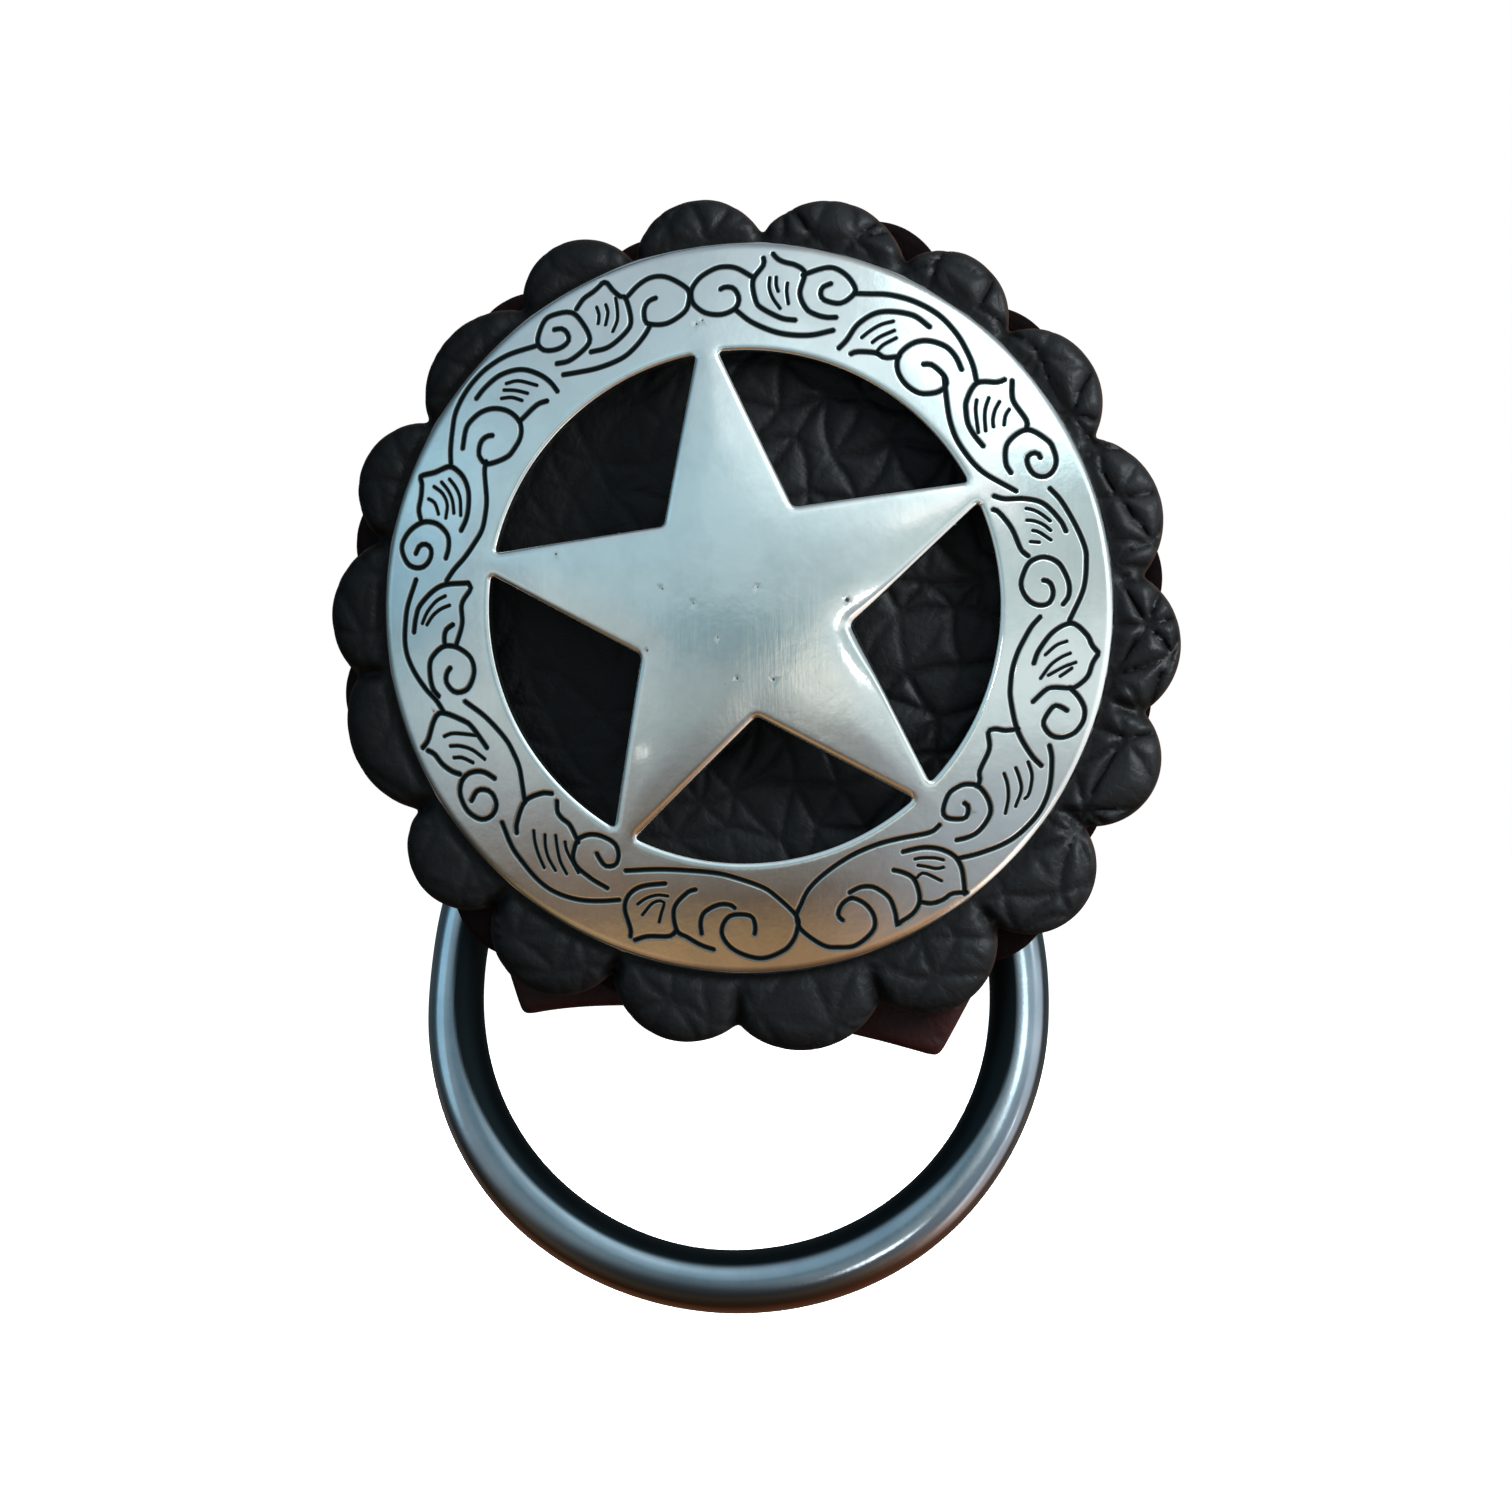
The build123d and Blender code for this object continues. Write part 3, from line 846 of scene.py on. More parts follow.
# Concho. The dome's sphere follows from the solid's own box.
concho_low, concho_high = mm_box("concho")
concho_radius = concho_high[0]
rim_rear = concho_low[2]
dome_top = concho_high[2]
cap_height = dome_top - rim_rear - rim_height
sphere_radius = (concho_radius**2 + cap_height**2) / (2 * cap_height)
sphere_centre = dome_top - sphere_radius
inner_sphere = sphere_radius - dome_wall
inner_foot = math.sqrt(inner_sphere**2 - (rim_rear - sphere_centre) ** 2)


def window_loop(bearing):
    """One star opening as a closed anticlockwise line with soft corners."""
    half_step = 180 / star_points
    corner = half_step - math.degrees(math.asin(tip_width / 2 / window_radius))
    arc = polar(np.linspace(-corner, corner, window_arc_steps), window_radius)
    waist = np.array([[star_waist, 0.0]])
    loop = along(np.vstack([waist, arc]), window_spacing, closed=True)
    return turned(softened(loop, window_smoothing), bearing)


def cut_outlines(line, half_width):
    """Centre line of a cut and the closed lines round it, from its floor out to its lip."""
    centre = along(line, cut_spacing)
    ahead, side = ahead_and_side(centre)
    cap = np.radians([60, 0, -60])[:, None]
    rings = []
    for reach in half_width * np.array(cut_ring_shares):
        rear, front = (reach * (np.sin(cap) * side[end] + np.cos(cap) * ahead[end]) for end in (0, -1))
        left, right = centre + reach * side, centre - reach * side
        rings.append(np.vstack([left, centre[-1] + front, right[::-1], centre[0] - rear]))
    return centre, rings


def draw_concho_front(windows):
    """The rim, openings, cuts and pits over a net of points. Also gives the numbers of the
    points on the rim and on each opening, and samples along the cuts of each width."""
    drawing = Drawing()
    rings = [drawing.line(circle(rim_steps, concho_radius - inset)) for inset in rim_insets]
    borders = [rings[0]]
    for loop in windows:
        normal = outward(loop)
        rings = [drawing.line(loop + normal * inset) for inset in window_insets]
        borders.append(rings[0])
    samples = []
    for width, _, cuts in CUTS:
        lines = [curved(polar(*np.array(cut, float).T)) for cut in cuts]
        for line in lines:
            centre, rings = cut_outlines(line, width / 2)
            drawing.line(centre, closed=False)
            for ring in rings:
                drawing.line(ring)
        samples.append(np.vstack([along(line, sample_spacing) for line in lines]))
    for across, up, radius in PITS:
        for share in pit_ring_shares:
            drawing.line(circle(pit_steps, radius * share) + (across, up))
    net = even_net(concho_radius, concho_net_gap)
    drawing.scatter(net[np.hypot(*net.T) < concho_radius - rim_margin])
    return drawing, borders, samples


def concho_relief(plan, windows, samples):
    """How far forward each point of the casting's front stands, and how much black it holds."""
    reach = np.minimum(np.hypot(*plan.T), concho_radius)
    edges = windows + [along(loop, sample_spacing, closed=True) for loop in windows]
    from_window = nearest(np.vstack(edges), plan)
    forward = sphere_centre + np.sqrt(sphere_radius**2 - reach**2)
    forward -= rounding(from_window, edge_round_width, edge_round_drop)
    forward -= shoulder_drop * (1 - fade(from_window, 0, shoulder_width))
    forward -= rounding(concho_radius - reach, rim_round_width, rim_round_drop)
    worn = bell(np.hypot(*(plan - worn_corner).T), worn_reach)
    forward -= worn_drop * worn * np.clip(1 - from_window / worn_width, 0, 1) ** 2
    patina = np.zeros(len(plan))
    sunk = np.zeros(len(plan))
    kept_depth = low_cut_share + (1 - low_cut_share) * fade(plan[:, 1], *low_cut_levels)
    for (width, depth, _), line in zip(CUTS, samples):
        share = nearest(line, plan) / (width / 2)
        sunk = np.maximum(sunk, depth * kept_depth * (1 - fade(share, *cut_wall_shares)))
        patina = np.maximum(patina, 1 - fade(share, *cut_black_shares))
    for across, up, radius in PITS:
        share = np.hypot(plan[:, 0] - across, plan[:, 1] - up) / radius
        sunk = np.maximum(sunk, pit_depth_share * radius * (1 - fade(share, *pit_wall_shares)))
        patina = np.maximum(patina, pit_patina * (1 - fade(share, *pit_black_shares)))
    return forward - sunk, patina


def draw_concho_back(windows):
    """The underside's lines: the rim, its flat foot, the boss and the openings."""
    drawing = Drawing()
    rim = drawing.line(circle(rim_steps, concho_radius))
    for radius in (inner_foot, boss_radius + boss_wall_step, boss_radius):
        drawing.line(circle(foot_steps, radius))
    borders = [rim] + [drawing.line(loop) for loop in windows]
    for radius in np.arange(boss_radius + 2.0, inner_foot, dome_ring_gap):
        drawing.scatter(circle(int(radius * dome_steps_per_mm), radius))
    return drawing, borders


def build_concho():
    """The casting: domed band and star with rounded edges and cut lines, walls and underside."""
    half_step = 180 / star_points
    bearings = [star_turn + half_step + 2 * half_step * number for number in range(star_points)]
    windows = [window_loop(bearing) for bearing in bearings]
    drawing, borders, samples = draw_concho_front(windows)
    plan, faces, moved = drawing.triangles(windows)
    forward, patina = concho_relief(plan, windows, samples)
    drawing, low_borders = draw_concho_back(windows)
    low_plan, low_faces, low_moved = drawing.triangles(windows)
    low_reach = np.hypot(*low_plan.T)
    under_dome = sphere_centre + np.sqrt(inner_sphere**2 - np.minimum(low_reach, inner_foot) ** 2)
    flat = (low_reach > inner_foot - 0.01) | (low_reach < boss_radius + 0.01)
    low_forward = np.where(flat, rim_rear, under_dome)

    front_count = len(plan)
    everything = [tuple(face) for face in faces]
    everything += [tuple(front_count + v for v in face[::-1]) for face in low_faces]
    for place, (border, low_border) in enumerate(zip(borders, low_borders)):
        upper = [moved[i] for i in border]
        lower = [front_count + low_moved[i] for i in low_border]
        everything += strip(upper, lower) if place == 0 else [q[::-1] for q in strip(upper, lower)]
    none = np.zeros(len(low_plan))
    wiped = bell(np.hypot(*(plan - wiped_middle).T), wiped_reach)
    return add_piece(
        "concho_casting",
        np.vstack([np.column_stack([plan, forward]), np.column_stack([low_plan, low_forward])]),
        everything,
        make_material("antique_silver_plate", antique_silver),
        "root",
        "concho",
        {"patina": np.concatenate([patina, none]), "wiped": np.concatenate([wiped, none])},
        sharp=42,
    )


def hide_creases():
    """Deep and faint creases, as closely spaced points along the sides of uneven triangles."""
    chance = np.random.default_rng(hide_seed)
    corners = even_net(hide_reach, pad_size)
    corners += chance.uniform(-1, 1, corners.shape) * pad_size * pad_unevenness
    net = [Vector(corner) for corner in corners]
    found = delaunay_2d_cdt(net, [], [], everything_inside_hull, joining_distance)
    kinds = {True: [], False: []}
    for first, last in found[1]:
        ends = np.array([found[0][first], found[0][last]])
        step = ends[1] - ends[0]
        if np.hypot(*step) > 2 * pad_size:
            continue
        bow = chance.uniform(-crease_bow, crease_bow)
        middle = ends.mean(0) + np.array([-step[1], step[0]]) * bow
        line = along(curved([ends[0], middle, ends[1]]), crease_spacing)
        kinds[chance.random() > faint_crease_share].append(line)
    return np.vstack(kinds[True]), np.vstack(kinds[False])


deep_creases, faint_creases = hide_creases()


def hide_relief(points):
    """Depth of the creases at each point, and how far the hide swells up between them."""
    deep, faint = nearest(deep_creases, points), nearest(faint_creases, points)
    depth = np.maximum(
        deep_crease_depth * bell(deep, deep_crease_width),
        faint_crease_depth * bell(faint, faint_crease_width),
    )
    clear = np.minimum(deep, faint + faint_crease_lead)
    return depth, 1 - np.exp(-((clear / pad_rise_width) ** pad_fullness))


def lobed_reach(bearings, lobes, disc):
    """How far a scalloped outline reaches from its middle at each bearing."""
    angle = np.radians(bearings)
    reach = np.full(len(angle), disc, float)
    for bearing, tip, radius in lobes:
        centre = tip - radius
        off = angle - math.radians(bearing)
        under = radius**2 - (centre * np.sin(off)) ** 2
        hit = centre * np.cos(off) + np.sqrt(np.maximum(under, 0))
        reach = np.maximum(reach, np.where(under > 0, hit, 0))
    return reach


def lobed_outline(lobes, disc):
    """A scalloped outline as a closed anticlockwise line with softened notches."""
    bearings = np.linspace(0, 360, lobe_bearings, endpoint=False)
    line = polar(bearings, lobed_reach(bearings, lobes, disc))
    line = along(line, outline_spacing, closed=True)
    return softened(line, outline_smoothing) + rosette_shift


def notch_creases(outline, lobes, points, length):
    """How near each point is to a crease that runs in from a notch, fading along it."""
    near = np.zeros(len(points))
    from_middle = outline - rosette_shift
    reach = np.linalg.norm(from_middle, axis=1)
    bearing = np.degrees(np.arctan2(*from_middle.T[::-1]))
    middles = sorted(lobe[0] % 360 for lobe in lobes)
    for before, after in zip(middles, middles[1:] + [middles[0] + 360]):
        off_notch = np.abs((bearing - (before + after) / 2 + 180) % 360 - 180)
        between = off_notch < notch_search
        notch = outline[between][np.argmin(reach[between])]
        inward = (rosette_shift - notch) / np.linalg.norm(rosette_shift - notch)
        offset = points - notch
        run = offset @ inward
        aside = np.abs(offset @ (-inward[1], inward[0]))
        strong = fade(run, length, notch_crease_full_share * length) * fade(run, -1.0, 0.0)
        near = np.maximum(near, strong * bell(aside, notch_crease_width))
    return near


def build_leather(name, node, material, outline, gap, face_height):
    """A cut leather layer: a face over a fine net of points, a rolled cut edge and a suede back.
    face_height gives how far each face point stands above the layer's flat top, and its painted shade,
    which lies in the creases and on the front layer's left side."""
    low, high = mm_box(node)
    rear, front = low[2], high[2]
    hole = circle(hole_steps, punched_hole)
    normal = outward(outline)
    drawing = Drawing()
    border = [drawing.line(outline - normal * inset) for inset in leather_insets][0]
    hole_border = drawing.line(hole)
    net = even_net(np.abs(outline).max() + 1, gap)
    net = net[inside(outline, net) & (np.hypot(*net.T) > punched_hole + hole_margin)]
    net = net[nearest(along(outline, 2 * edge_samples, closed=True), net) > leather_margin]
    drawing.scatter(net)
    plan, faces, moved = drawing.triangles([hole])
    edge = np.vstack([outline, along(outline, edge_samples, closed=True)])
    from_edge = nearest(edge, plan)
    lift, crease = face_height(plan, from_edge)

    # Rings of points down the cut edge, then the hole's rear rim
    size = len(outline)
    points = [np.column_stack([plan, front + lift])]
    rings = [[moved[i] for i in border]]
    edge_level = points[0][rings[0], 2]
    for down, inset in ROLLED_EDGE:
        ring = outline - normal * inset
        first = len(plan) + size * (len(rings) - 1)
        rings.append(list(range(first, first + size)))
        points.append(np.column_stack([ring, edge_level + (rear - edge_level) * down]))
    hole_rear = list(range(rings[-1][-1] + 1, rings[-1][-1] + 1 + len(hole)))
    points.append(np.column_stack([hole, np.full(len(hole), rear)]))
    everything = [tuple(face) for face in faces]
    for upper, lower in zip(rings, rings[1:]):
        everything += strip(upper, lower)

    # Back, which shares the last ring and the hole's rim
    back = Drawing()
    back_border, back_hole = back.line(ring), back.line(hole)
    back.scatter(net[:: max(1, int(back_net_area / gap**2))])
    back_plan, back_faces, back_moved = back.triangles([hole])
    points.append(np.column_stack([back_plan, np.full(len(back_plan), rear)]))
    shared = zip([*back_border, *back_hole], rings[-1] + hole_rear)
    place = {back_moved[i]: there for i, there in shared}
    back_start = hole_rear[-1] + 1
    everything += [tuple(place.get(v, back_start + v) for v in f[::-1]) for f in back_faces]
    everything += [quad[::-1] for quad in strip([moved[i] for i in hole_border], hole_rear)]
    points = np.vstack(points)
    cut = np.ones(len(points))
    cut[: len(plan)] = fade(from_edge, cut_shows_in, 0.0) * cut_shows_by
    # Painted shade mask from the face; none on the cut edge and the back
    deep = np.zeros(len(points))
    deep[: len(plan)] = crease
    masks = {"crease": deep, "cut": cut}
    return add_piece(name, points, everything, material, "root", node, masks, sharp=75)


def front_face(plan, from_edge):
    """The front layer: pebbles, held down under the metal and puffed up outside its rim. The
    hide is milled less to the left and at the foot, and has painted shade in its creases and
    notches and over its left side."""
    depth, swell = hide_relief(plan)
    across, up = plan.T
    past_rim = np.hypot(across, up) - concho_radius
    puffed, held = fade(past_rim, *puffed_past_rim), fade(past_rim, *held_past_rim)
    notch = notch_creases(front_outline, FRONT_LOBES, plan, notch_crease_length)
    milled = fade(across, *milled_across) * fade(up, *milled_up)
    milled = least_milled + (1 - least_milled) * milled
    lift = (pad_rise * swell - depth) * milled * np.maximum(puffed, held_pad_share * held)
    lift += puffed_lift * puffed - held_drop * held - notch_crease_depth * notch * puffed
    lift -= rounding(from_edge, lobe_round_width, lobe_round_drop)
    lift = np.where(past_rim < rim_clearance, np.minimum(lift, most_lift_under_rim), lift)
    # Painted shade over the left side, stronger higher up
    side_shade = fade(across, *side_shade_across) * (least_side_shade + more_side_shade * fade(up, *side_shade_up))
    # Painted shade in the creases and notch creases, and over the left side
    darker = np.maximum(np.maximum(depth * milled / full_crease_shade, notch), side_shade)
    return lift, np.clip(darker, 0, 1)


def plain_face(plan, from_edge):
    """A layer pressed flat: its edge rolled and only shallow creases, which get painted shade."""
    depth, _ = hide_relief(plan)
    lift = -pressed_share * depth - rounding(from_edge, pressed_round_width, pressed_round_drop)
    # Crease depth, also used as painted shade in the creases
    return lift, np.clip(depth, 0, 1)


def build_ring(material):
    """Round-wire ring, hanging in the strap's loop."""
    low, high = mm_box("ring")
    middle = (low + high) / 2
    turns = np.linspace(0, 2 * math.pi, ring_steps, endpoint=False)
    rounds = np.linspace(0, 2 * math.pi, wire_steps, endpoint=False)
    # Shape of the wire, and shares of its painted shade, round the ring
    bearings, *columns = np.array(RING_SHAPE_AND_SHADE).T
    outer_wear, inner_wear, *shares = (
        softened(np.interp(np.degrees(turns), bearings, column), shape_and_shade_smoothing)
        for column in columns
    )
    outer, inner = wire_radius + outer_wear, wire_radius - inner_wear
    turn, around = np.meshgrid(turns, rounds, indexing="ij")
    half = ((outer + inner) / 2)[:, None]
    across = np.sign(np.cos(around)) * np.abs(np.cos(around)) ** section_power
    ahead = np.sign(np.sin(around)) * np.abs(np.sin(around)) ** section_power
    reach = ring_mid + ((outer - inner) / 2)[:, None] + half * across
    offset = np.stack([reach * np.cos(turn), reach * np.sin(turn), half * ahead], -1)
    points = (middle + offset).reshape(-1, 3)
    share = ((1 + across) / 2).ravel()
    # How low each point is, for the painted warm reflection
    low = least_warm_reflection + (1 - least_warm_reflection) * fade(-np.sin(turn), *warm_reflection_below).ravel()
    dark_to, grey_from, grey = (np.repeat(column, wire_steps) for column in shares)
    masks = {
        # Painted dark shade on the wire's inner side
        "dirty": 1 - fade(share - dark_to, -inner_shade_softness, inner_shade_softness),
        # Painted grey shade on the wire's outer side, low down
        "greyed": grey * fade(share - grey_from, -lower_shade_softness, lower_shade_softness),
        # Painted warm reflection of the ground on the wire's outer underside
        "brassy": low * fade(share, *warm_reflection_share) * fade(ahead.ravel(), *warm_reflection_ahead),
    }
    faces = [face[::-1] for face in grid_faces(ring_steps, wire_steps, wrap_rows=True)]
    return add_piece(
        "hanging_ring", points, faces, material, "ring", "ring", masks
    )


def strap_path(front_leg, wire_forward):
    """The strap's middle line, seen from the side as (forward, up): down its front leg, round
    the ring's wire, back through a small bend and up its rear leg."""
    inner = strap_loop_radius - strap_leather / 2
    back_leg = wire_forward + inner - fold_gap - strap_leather / 2
    bend_offset = back_leg - strap_bend_radius - wire_forward
    bend_rise = math.sqrt((strap_loop_radius + strap_bend_radius) ** 2 - bend_offset**2)
    bend_angle = math.atan2(bend_rise, bend_offset)
    loop = np.linspace(0, bend_angle - 2 * math.pi, strap_loop_steps)
    bend = np.linspace(bend_angle - math.pi, 0, strap_bend_steps)
    loop_middle = np.array([wire_forward, -strap_loop_drop])
    arcs = [
        centre + radius * np.stack([np.cos(angle), np.sin(angle)], -1)
        for angle, centre, radius in (
            (loop, loop_middle, strap_loop_radius),
            (bend, loop_middle + (bend_offset, bend_rise), strap_bend_radius),
        )
    ]
    front = [[front_leg, strap_top_rise], [front_leg, 0.0]]
    back = [[back_leg, 0.0], [back_leg, strap_top_rise]]
    return along(np.vstack([front, *arcs, back]), strap_spacing)


def build_strap(material):
    """Strap folded round the ring's wire, its edges rounded and burnished."""
    _, high = mm_box("ring_strap")
    ring_low, ring_high = mm_box("ring")
    path = strap_path(high[2] - strap_leather / 2, (ring_low[2] + ring_high[2]) / 2)
    _, side = ahead_and_side(path)
    flat_width = strap_width / 2 - strap_edge_radius
    flat_leather = strap_leather / 2 - strap_edge_radius
    section = []
    for right, out, start in ((1, 1, 0), (-1, 1, 90), (-1, -1, 180), (1, -1, 270)):
        for bearing in range(start, start + 91, 30):
            corner = (right * flat_width, out * flat_leather)
            section.append(polar(bearing, strap_edge_radius) + corner)
    section = along(np.array(section), strap_section_spacing, closed=True)
    rows = []
    steps = np.arange(len(path))
    ends = np.clip(np.minimum(steps, steps[::-1]) / strap_taper_steps, 0, 1)
    for centre, out, taper in zip(path, side, ends):
        narrow = 1 - strap_end_taper * (1 - math.sqrt(1 - (1 - taper) ** 2))
        spot = centre + section[:, 1:2] * out
        rows.append(np.column_stack([section[:, 0] * narrow, spot[:, 1], spot[:, 0]]))
    points = np.vstack(rows)
    points[:, :2] = turned(points[:, :2], -ring_lean)
    columns = len(section)
    faces = grid_faces(len(rows), columns)
    last = (len(rows) - 1) * columns
    faces += [tuple(range(columns))[::-1], tuple(last + i for i in range(columns))]
    edge = np.tile(np.abs(section[:, 0]) > flat_width, len(rows)) * burnish
    masks = {"crease": np.zeros(len(points)), "cut": edge}
    add_piece(
        "folded_strap", points, faces, material, "root", "ring_strap", masks
    )


def tab_outline():
    """The tab's outline: its foot hollowed, its corners softened, and the whole leaned."""
    outline = along(np.array(TAB_CORNERS), tab_spacing, closed=True)
    foot_left, foot_right = TAB_CORNERS[-1], TAB_CORNERS[0]
    share = (outline[:, 0] - foot_left[0]) / (foot_right[0] - foot_left[0])
    share = np.clip(share, 0, 1) ** tab_foot_skew
    on_foot = outline[:, 1] < foot_right[1] + 0.01
    outline[on_foot, 1] += (tab_foot_hollow * (1 - (2 * share - 1) ** 2))[on_foot]
    return softened(turned(outline, -tab_lean), tab_smoothing)


# Leathers: face, crease and cut colours, roughness and specular level; the crease colour is painted
# shade
black, shaded_maroon, maroon = (
    make_material(name, pebbled_leather, *finish)
    for name, *finish in (
        ("black_milled_cowhide", "#161617", "#070707", "#33241c", 0.47, 0.12),
        # The back layer: maroon leather like the tab's, painted darker as shade where it lies behind
        # the front layer
        ("oxblood_cowhide", "#140708", "#0a0404", "#241613", 0.55, 0.06),
        ("maroon_cowhide", "#280a09", "#140505", "#40231a", 0.5, 0.18),
    )
)
casting_piece = build_concho()
front_outline = lobed_outline(FRONT_LOBES, front_disc)
front_rosette = build_leather(
    "front_rosette",
    "rosette_front",
    black,
    front_outline,
    front_net_gap,
    front_face,
)
back_outline = lobed_outline(BACK_LOBES, back_disc)
# Back layer, in the maroon leather painted darker as shade
build_leather(
    "back_rosette",
    "rosette_back",
    shaded_maroon,
    back_outline,
    back_layer_net_gap,
    plain_face,
)
lower_tab = build_leather(
    "lower_tab", "backing_tab", maroon, tab_outline(), tab_net_gap, plain_face
)

# Metals: bright and dark colour, roughness, stretch of the scuffs, and the mask, colour and
# roughness of each mark of painted shade and painted reflection
# On the ring: painted dark inner shade, painted grey lower shade, painted warm reflection of the
# ground
ring_painted_light = (("dirty", "#1c2326", 0.55), ("greyed", "#4c5258", 0.3), ("brassy", "#97694f", 0.3))
nickel = ("#a6b1bb", "#98a4af", 0.16, (1, 1, 1), ring_painted_light)
ring_piece = build_ring(make_material("dark_nickel_plate", drawn_metal, *nickel))
build_strap(black)
steel = ("#b9bbbd", "#9a9c9e", 0.3, (12, 1, 12), ())
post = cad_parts["post"]
post.data.materials.clear()
post.data.materials.append(make_material("turned_steel", drawn_metal, *steel))

# Camera: 5 degrees to the object's right, level, 400 mm from the concho's rim
view_azimuth = 5.0
camera_data = bpy.data.cameras.new("camera")
camera_data.lens = 91.4
camera_data.sensor_width = 36.0
camera_data.clip_start = 0.01
camera = bpy.data.objects.new("camera", camera_data)
camera.location = (0.03576, -0.41747, -0.01538)
camera.rotation_euler = (math.radians(90), 0, math.radians(view_azimuth))
bpy.context.scene.collection.objects.link(camera)
bpy.context.scene.camera = camera

# Floor: plain and pale, below the hanging ring. It neither lights the object nor shows in the metal
floor_level = cad_bounds[0][2] - floor_drop * MM
corners = [(-1, -1), (1, -1), (1, 1), (-1, 1)]
corners = [(x * half_floor, y * half_floor, floor_level) for x, y in corners]
floor_mesh = bpy.data.meshes.new("floor")
floor_mesh.from_pydata(corners, [], [(0, 1, 2, 3)])
floor = bpy.data.objects.new("floor", floor_mesh)


def matt_paper(add):
    """Matt white paper, lit enough to read as a plain white ground."""
    surface = {"Base Color": "#f6f6f4", "Roughness": 0.9, "Emission Color": "#ffffff"}
    return add("BsdfPrincipled", "BSDF", {**surface, "Emission Strength": 0.85})


floor_mesh.materials.append(make_material("matt_white_paper", matt_paper))
bpy.context.scene.collection.objects.link(floor)
floor.visible_glossy = False
floor.visible_diffuse = False

# Surroundings that the metal mirrors. Directions are seen from the front of the concho:
# azimuth to the right, elevation up.
SURROUNDINGS = [
    # elevation_deg, red, green, blue
    (-90, 0.05, 0.035, 0.025),
    (-65, 0.13, 0.085, 0.05),
    (-46, 0.40, 0.25, 0.13),
    (-41, 0.36, 0.235, 0.115),
    (-35, 0.13, 0.10, 0.075),
    (-29, 0.175, 0.145, 0.12),
    (-23, 0.215, 0.23, 0.23),
    (-17, 0.295, 0.34, 0.35),
    (-11, 0.355, 0.445, 0.46),
    (-5, 0.415, 0.51, 0.535),
    (1, 0.39, 0.54, 0.595),
    (7, 0.375, 0.54, 0.615),
    (13, 0.36, 0.535, 0.62),
    (20, 0.34, 0.515, 0.60),
    (30, 0.355, 0.49, 0.565),
    (48, 0.38, 0.475, 0.545),
    (65, 0.25, 0.31, 0.36),
    (90, 0.22, 0.27, 0.31),
]

SIDE_LEVELS = [
    # azimuth_deg, red, green, blue
    (-180, 0.22, 0.21, 0.21),
    (-110, 0.22, 0.21, 0.21),
    (-85, 0.15, 0.18, 0.20),
    (-66, 0.38, 0.46, 0.50),
    (-52, 0.77, 0.90, 0.97),
    (-32, 1.24, 1.18, 1.17),
    (-16, 0.98, 0.98, 0.99),
    (0, 0.83, 0.80, 0.79),
    (14, 1.06, 0.92, 0.86),
    (40, 1.28, 1.08, 0.98),
    (80, 1.10, 0.95, 0.90),
    (110, 0.20, 0.17, 0.15),
    (180, 0.22, 0.21, 0.21),
]

SOFT_PANELS = [
    # azimuth_from, azimuth_to, elevation_from, elevation_to, soft_azimuth, soft_elevation,
    # red, green, blue
    (20.5, 52.0, 23.0, 50.0, 17.0, 12.0, 1.6, 2.3, 2.5),
    (52.0, 66.0, 4.0, 24.0, 8.0, 10.0, 1.1, 1.2, 1.2),
    (-16.0, 3.0, -4.6, 1.5, 7.0, 4.5, -0.20, -0.19, -0.18),
    (1.0, 11.0, -9.5, -3.0, 8.0, 10.0, 0.70, 0.68, 0.60),
    (-70.0, -38.5, -3.0, 21.0, 8.0, 16.0, 0.14, 0.22, 0.27),
    (-64.0, -34.0, -24.0, -6.0, 10.0, 8.0, 0.09, 0.09, 0.1),
    (-6.0, 12.0, 19.0, 36.0, 12.0, 12.0, 0.22, 0.24, 0.24),
    (52.0, 100.0, -55.0, 5.0, 18.0, 20.0, 0.70, 0.76, 0.80),
    (14.0, 51.0, -38.0, -14.5, 30.0, 38.0, 0.18, 0.31, 0.41),
    (-11.5, 29.0, 8.5, 61.0, 30.5, 40.0, 0.32, 0.40, 0.42),
    (10.5, 54.0, -13.0, 1.5, 15.5, 8.5, 0.22, 0.29, 0.32),
    (44.0, 60.0, -46.0, -30.0, 8.0, 8.0, 0.9, 0.9, 0.85),
    (-56.0, -36.0, -4.0, 12.0, 6.0, 10.0, -0.18, -0.26, -0.29),
    (14.0, 28.5, 12.0, 20.0, 8.0, 7.0, 0.52, 0.42, 0.38),
    (-2.5, 4.5, -16.5, -11.0, 6.0, 6.0, 0.38, 0.38, 0.36),
    (105.0, 200.0, 45.0, 100.0, 20.0, 20.0, 0.2, 0.25, 0.28),
    (-200.0, -105.0, 45.0, 100.0, 20.0, 20.0, 0.2, 0.25, 0.28),
    (105.0, 200.0, -100.0, -15.0, 20.0, 20.0, 0.13, 0.1, 0.08),
    (-200.0, -105.0, -100.0, -15.0, 20.0, 20.0, 0.13, 0.1, 0.08),
]


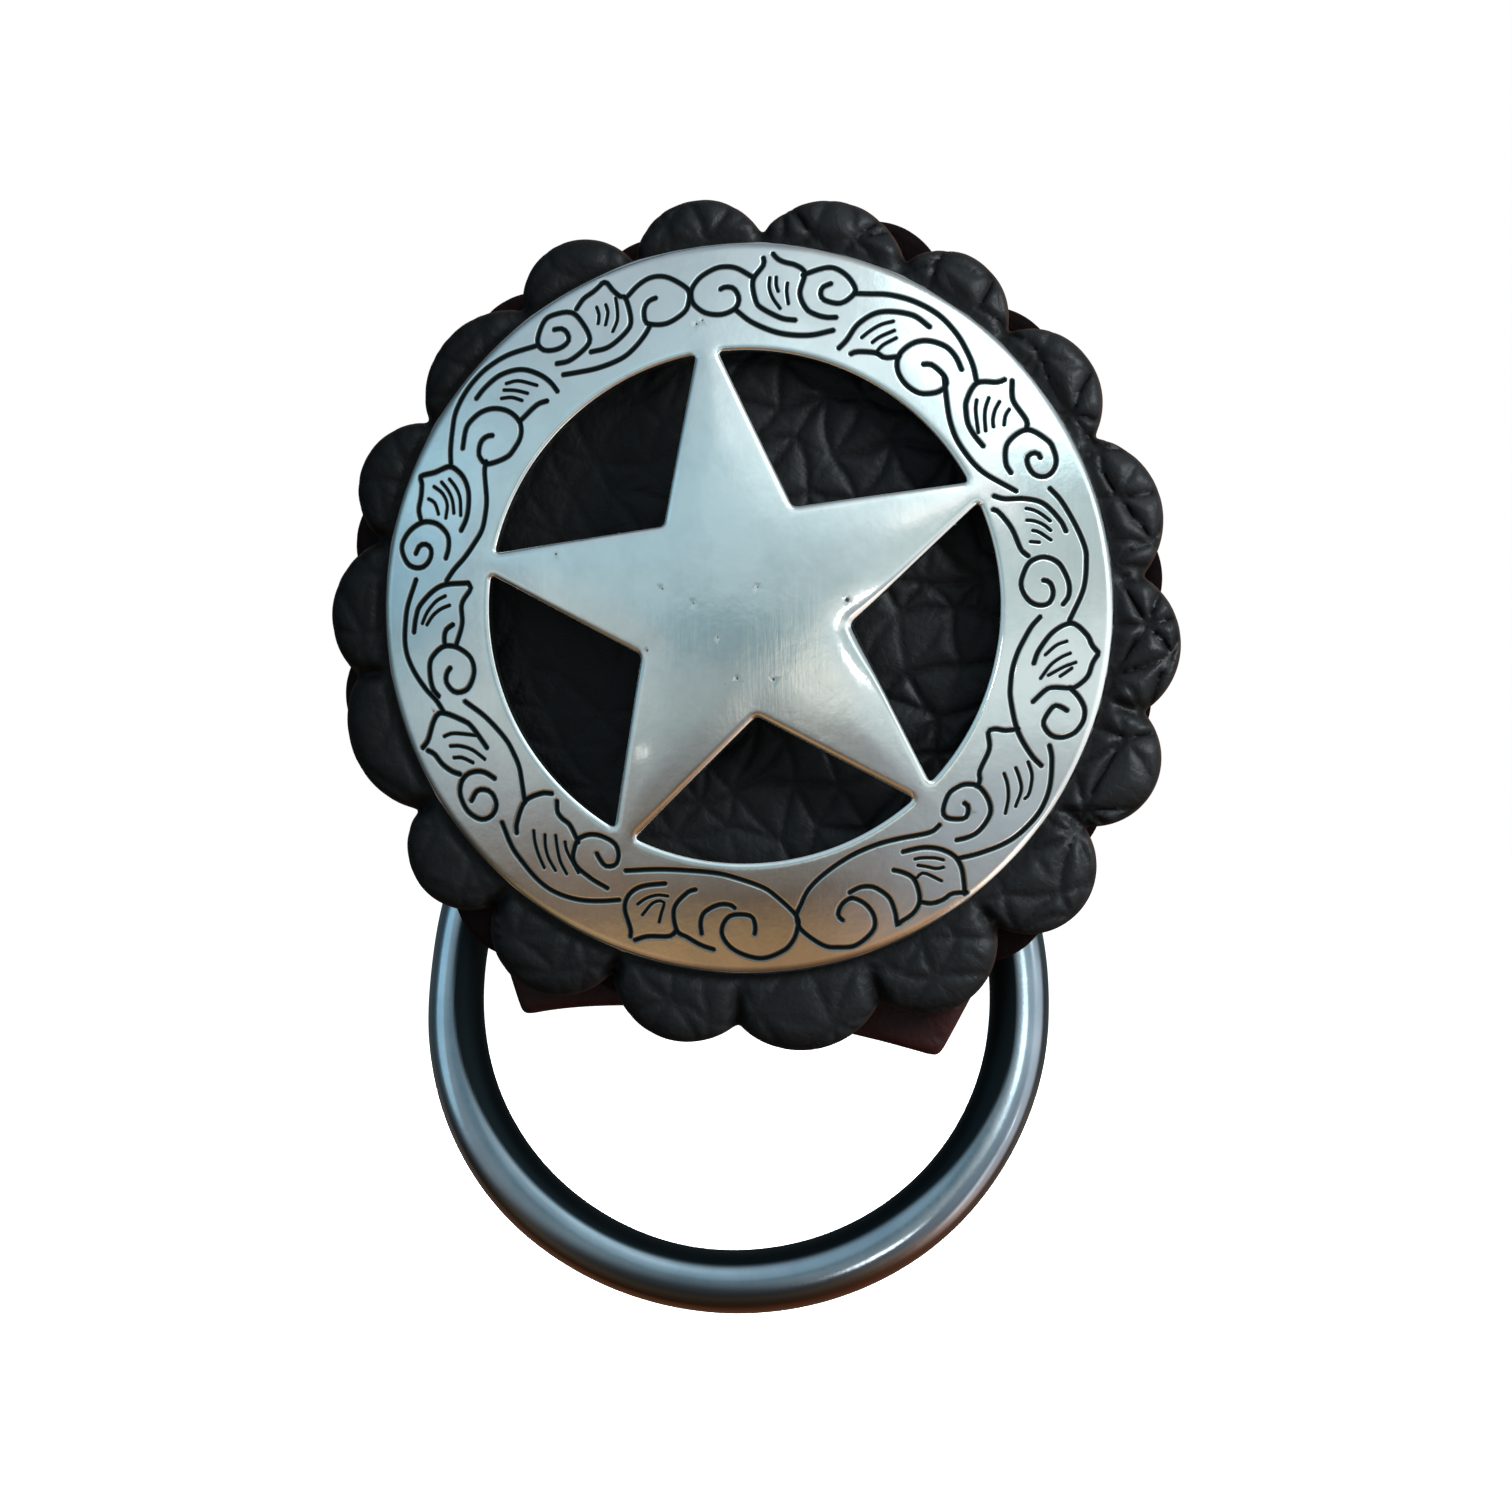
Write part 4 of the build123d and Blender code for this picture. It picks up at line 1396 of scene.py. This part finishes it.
def build_world():
    """The soft light that the metal mirrors. Seen directly, the background is plain white."""
    world = bpy.data.worlds.new("room")
    bpy.context.scene.world = world
    world.use_nodes = True
    world.node_tree.nodes.clear()
    add = partial(add_node, world.node_tree)
    axes = add("SeparateXYZ", "X", {"Vector": add("TexCoord", "Generated")}).node.outputs
    forward = add("Math", "Value", {0: axes["Y"], 1: -1.0}, operation="MULTIPLY")
    azimuth = add("Math", "Value", {0: axes["X"], 1: forward}, operation="ARCTAN2")
    azimuth = add("Math", "Value", {0: azimuth}, operation="DEGREES")
    elevation = add("Math", "Value", {0: axes["Z"]}, operation="ARCSINE")
    elevation = add("Math", "Value", {0: elevation}, operation="DEGREES")
    levels = []
    for angle, table in ((elevation, SURROUNDINGS), (azimuth, SIDE_LEVELS)):
        lowest, highest = table[0][0], table[-1][0]
        place = {"Value": angle, "From Min": lowest, "From Max": highest}
        level = add("ValToRGB", "Color", {"Fac": add("MapRange", "Result", place)})
        stops = level.node.color_ramp.elements
        while len(stops) < len(table):
            stops.new(0.5)
        for stop, (at, *shade) in zip(stops, table):
            stop.position = (at - lowest) / (highest - lowest)
            stop.color = (*shade, 1.0)
        levels.append(level)
    light = add("VectorMath", "Vector", dict(enumerate(levels)), operation="MULTIPLY")
    for left, right, low, high, soft_across, soft_up, *shade in SOFT_PANELS:
        share = 1.0
        for angle, middle, soft, before in (
            (azimuth, left, soft_across, 0.0),
            (azimuth, right, soft_across, 1.0),
            (elevation, low, soft_up, 0.0),
            (elevation, high, soft_up, 1.0),
        ):
            step = {"From Min": middle - soft / 2, "From Max": middle + soft / 2}
            step |= {"Value": angle, "To Min": before, "To Max": 1.0 - before}
            step = add("MapRange", "Result", step, interpolation_type="SMOOTHSTEP")
            share = add("Math", "Value", {0: share, 1: step}, operation="MULTIPLY")
        glow = add("VectorMath", "Vector", {0: shade, "Scale": share}, operation="SCALE")
        light = add("VectorMath", "Vector", {0: light, 1: glow}, operation="ADD")
    light = add("VectorMath", "Vector", {0: light, 1: (0.0, 0.0, 0.0)}, operation="MAXIMUM")
    seen = {0: add("LightPath", "Is Camera Ray"), colour_a: light, colour_b: "#ffffff"}
    shown = add("Mix", mixed_colour, seen, data_type="RGBA")
    output = world.node_tree.nodes.new("ShaderNodeOutputWorld")
    background = add("Background", "Background", {"Color": shown})
    world.node_tree.links.new(background, output.inputs["Surface"])


def add_area_light(name, place, aim, size, power, shade, only_on=()):
    """A soft lamp that no metal mirrors, or one that lights and shows in a few pieces only."""
    data = bpy.data.lights.new(name, "AREA")
    data.shape = "DISK"
    data.size = size
    data.energy = power
    data.color = shade
    lamp = bpy.data.objects.new(name, data)
    lamp.location = place
    lamp.rotation_euler = (Vector(aim) - Vector(place)).to_track_quat("-Z", "Y").to_euler()
    lamp.visible_glossy = bool(only_on)
    lamp.visible_camera = False
    bpy.context.scene.collection.objects.link(lamp)
    if only_on:
        lit = bpy.data.collections.new(name + "_lit")
        for piece in only_on:
            lit.objects.link(piece)
        lamp.light_linking.receiver_collection = lit


LAMPS = [
    # name, place and aim in metres, size, power, shade, the pieces that it lights if not all
    ("overhead", (0.1, -0.25, 0.9), (0, 0, 0), 0.6, 6.0, (0.95, 0.98, 1.0)),
    ("behind", (-0.15, 0.6, 0.3), (0, 0, 0), 0.5, 14.0, (1.0, 0.98, 0.95)),
    ("window_side", (0.135, -0.115, 0.045), (0.02, -0.019, 0), 0.09, 0.5, (0.9, 0.97, 1.0),
     (front_rosette, lower_tab)),
    ("waist_glint", (0.0233, -0.0595, -0.0055), (0.0104, -0.0269, -0.0052), 0.004, 4e-4,
     (1.0, 1.0, 0.98), (casting_piece,)),
    ("arm_glint", (-0.0181, -0.0444, -0.0204), (-0.0134, -0.0257, -0.0149), 0.0015, 6e-6,
     (1.0, 1.0, 0.98), (casting_piece,)),
    ("right_streak", (0.0936, -0.2491, -0.068), (0.0288, -0.0091, -0.044), 0.07, 0.035,
     (0.9, 1.0, 1.0), (ring_piece,)),
    ("low_glint", (0.0261, -0.2462, -0.1468), (0.0132, -0.0091, -0.0685), 0.028, 0.018,
     (1.0, 0.97, 0.9), (ring_piece,)),
    ("low_spark", (0.2233, -0.1199, -0.1629), (0.0276, -0.0087, -0.0541), 0.012, 0.003,
     (0.95, 1.0, 1.0), (ring_piece,)),
    ("left_sky", (-0.2216, -0.1742, -0.0569), (-0.0347, -0.0089, -0.0413), 0.15, 0.038,
     (0.54, 0.88, 1.0), (ring_piece,)),
]

build_world()
for lamp in LAMPS:
    add_area_light(*lamp)
bpy.context.scene.view_settings.view_transform = "Standard"
bpy.context.view_layer.update()
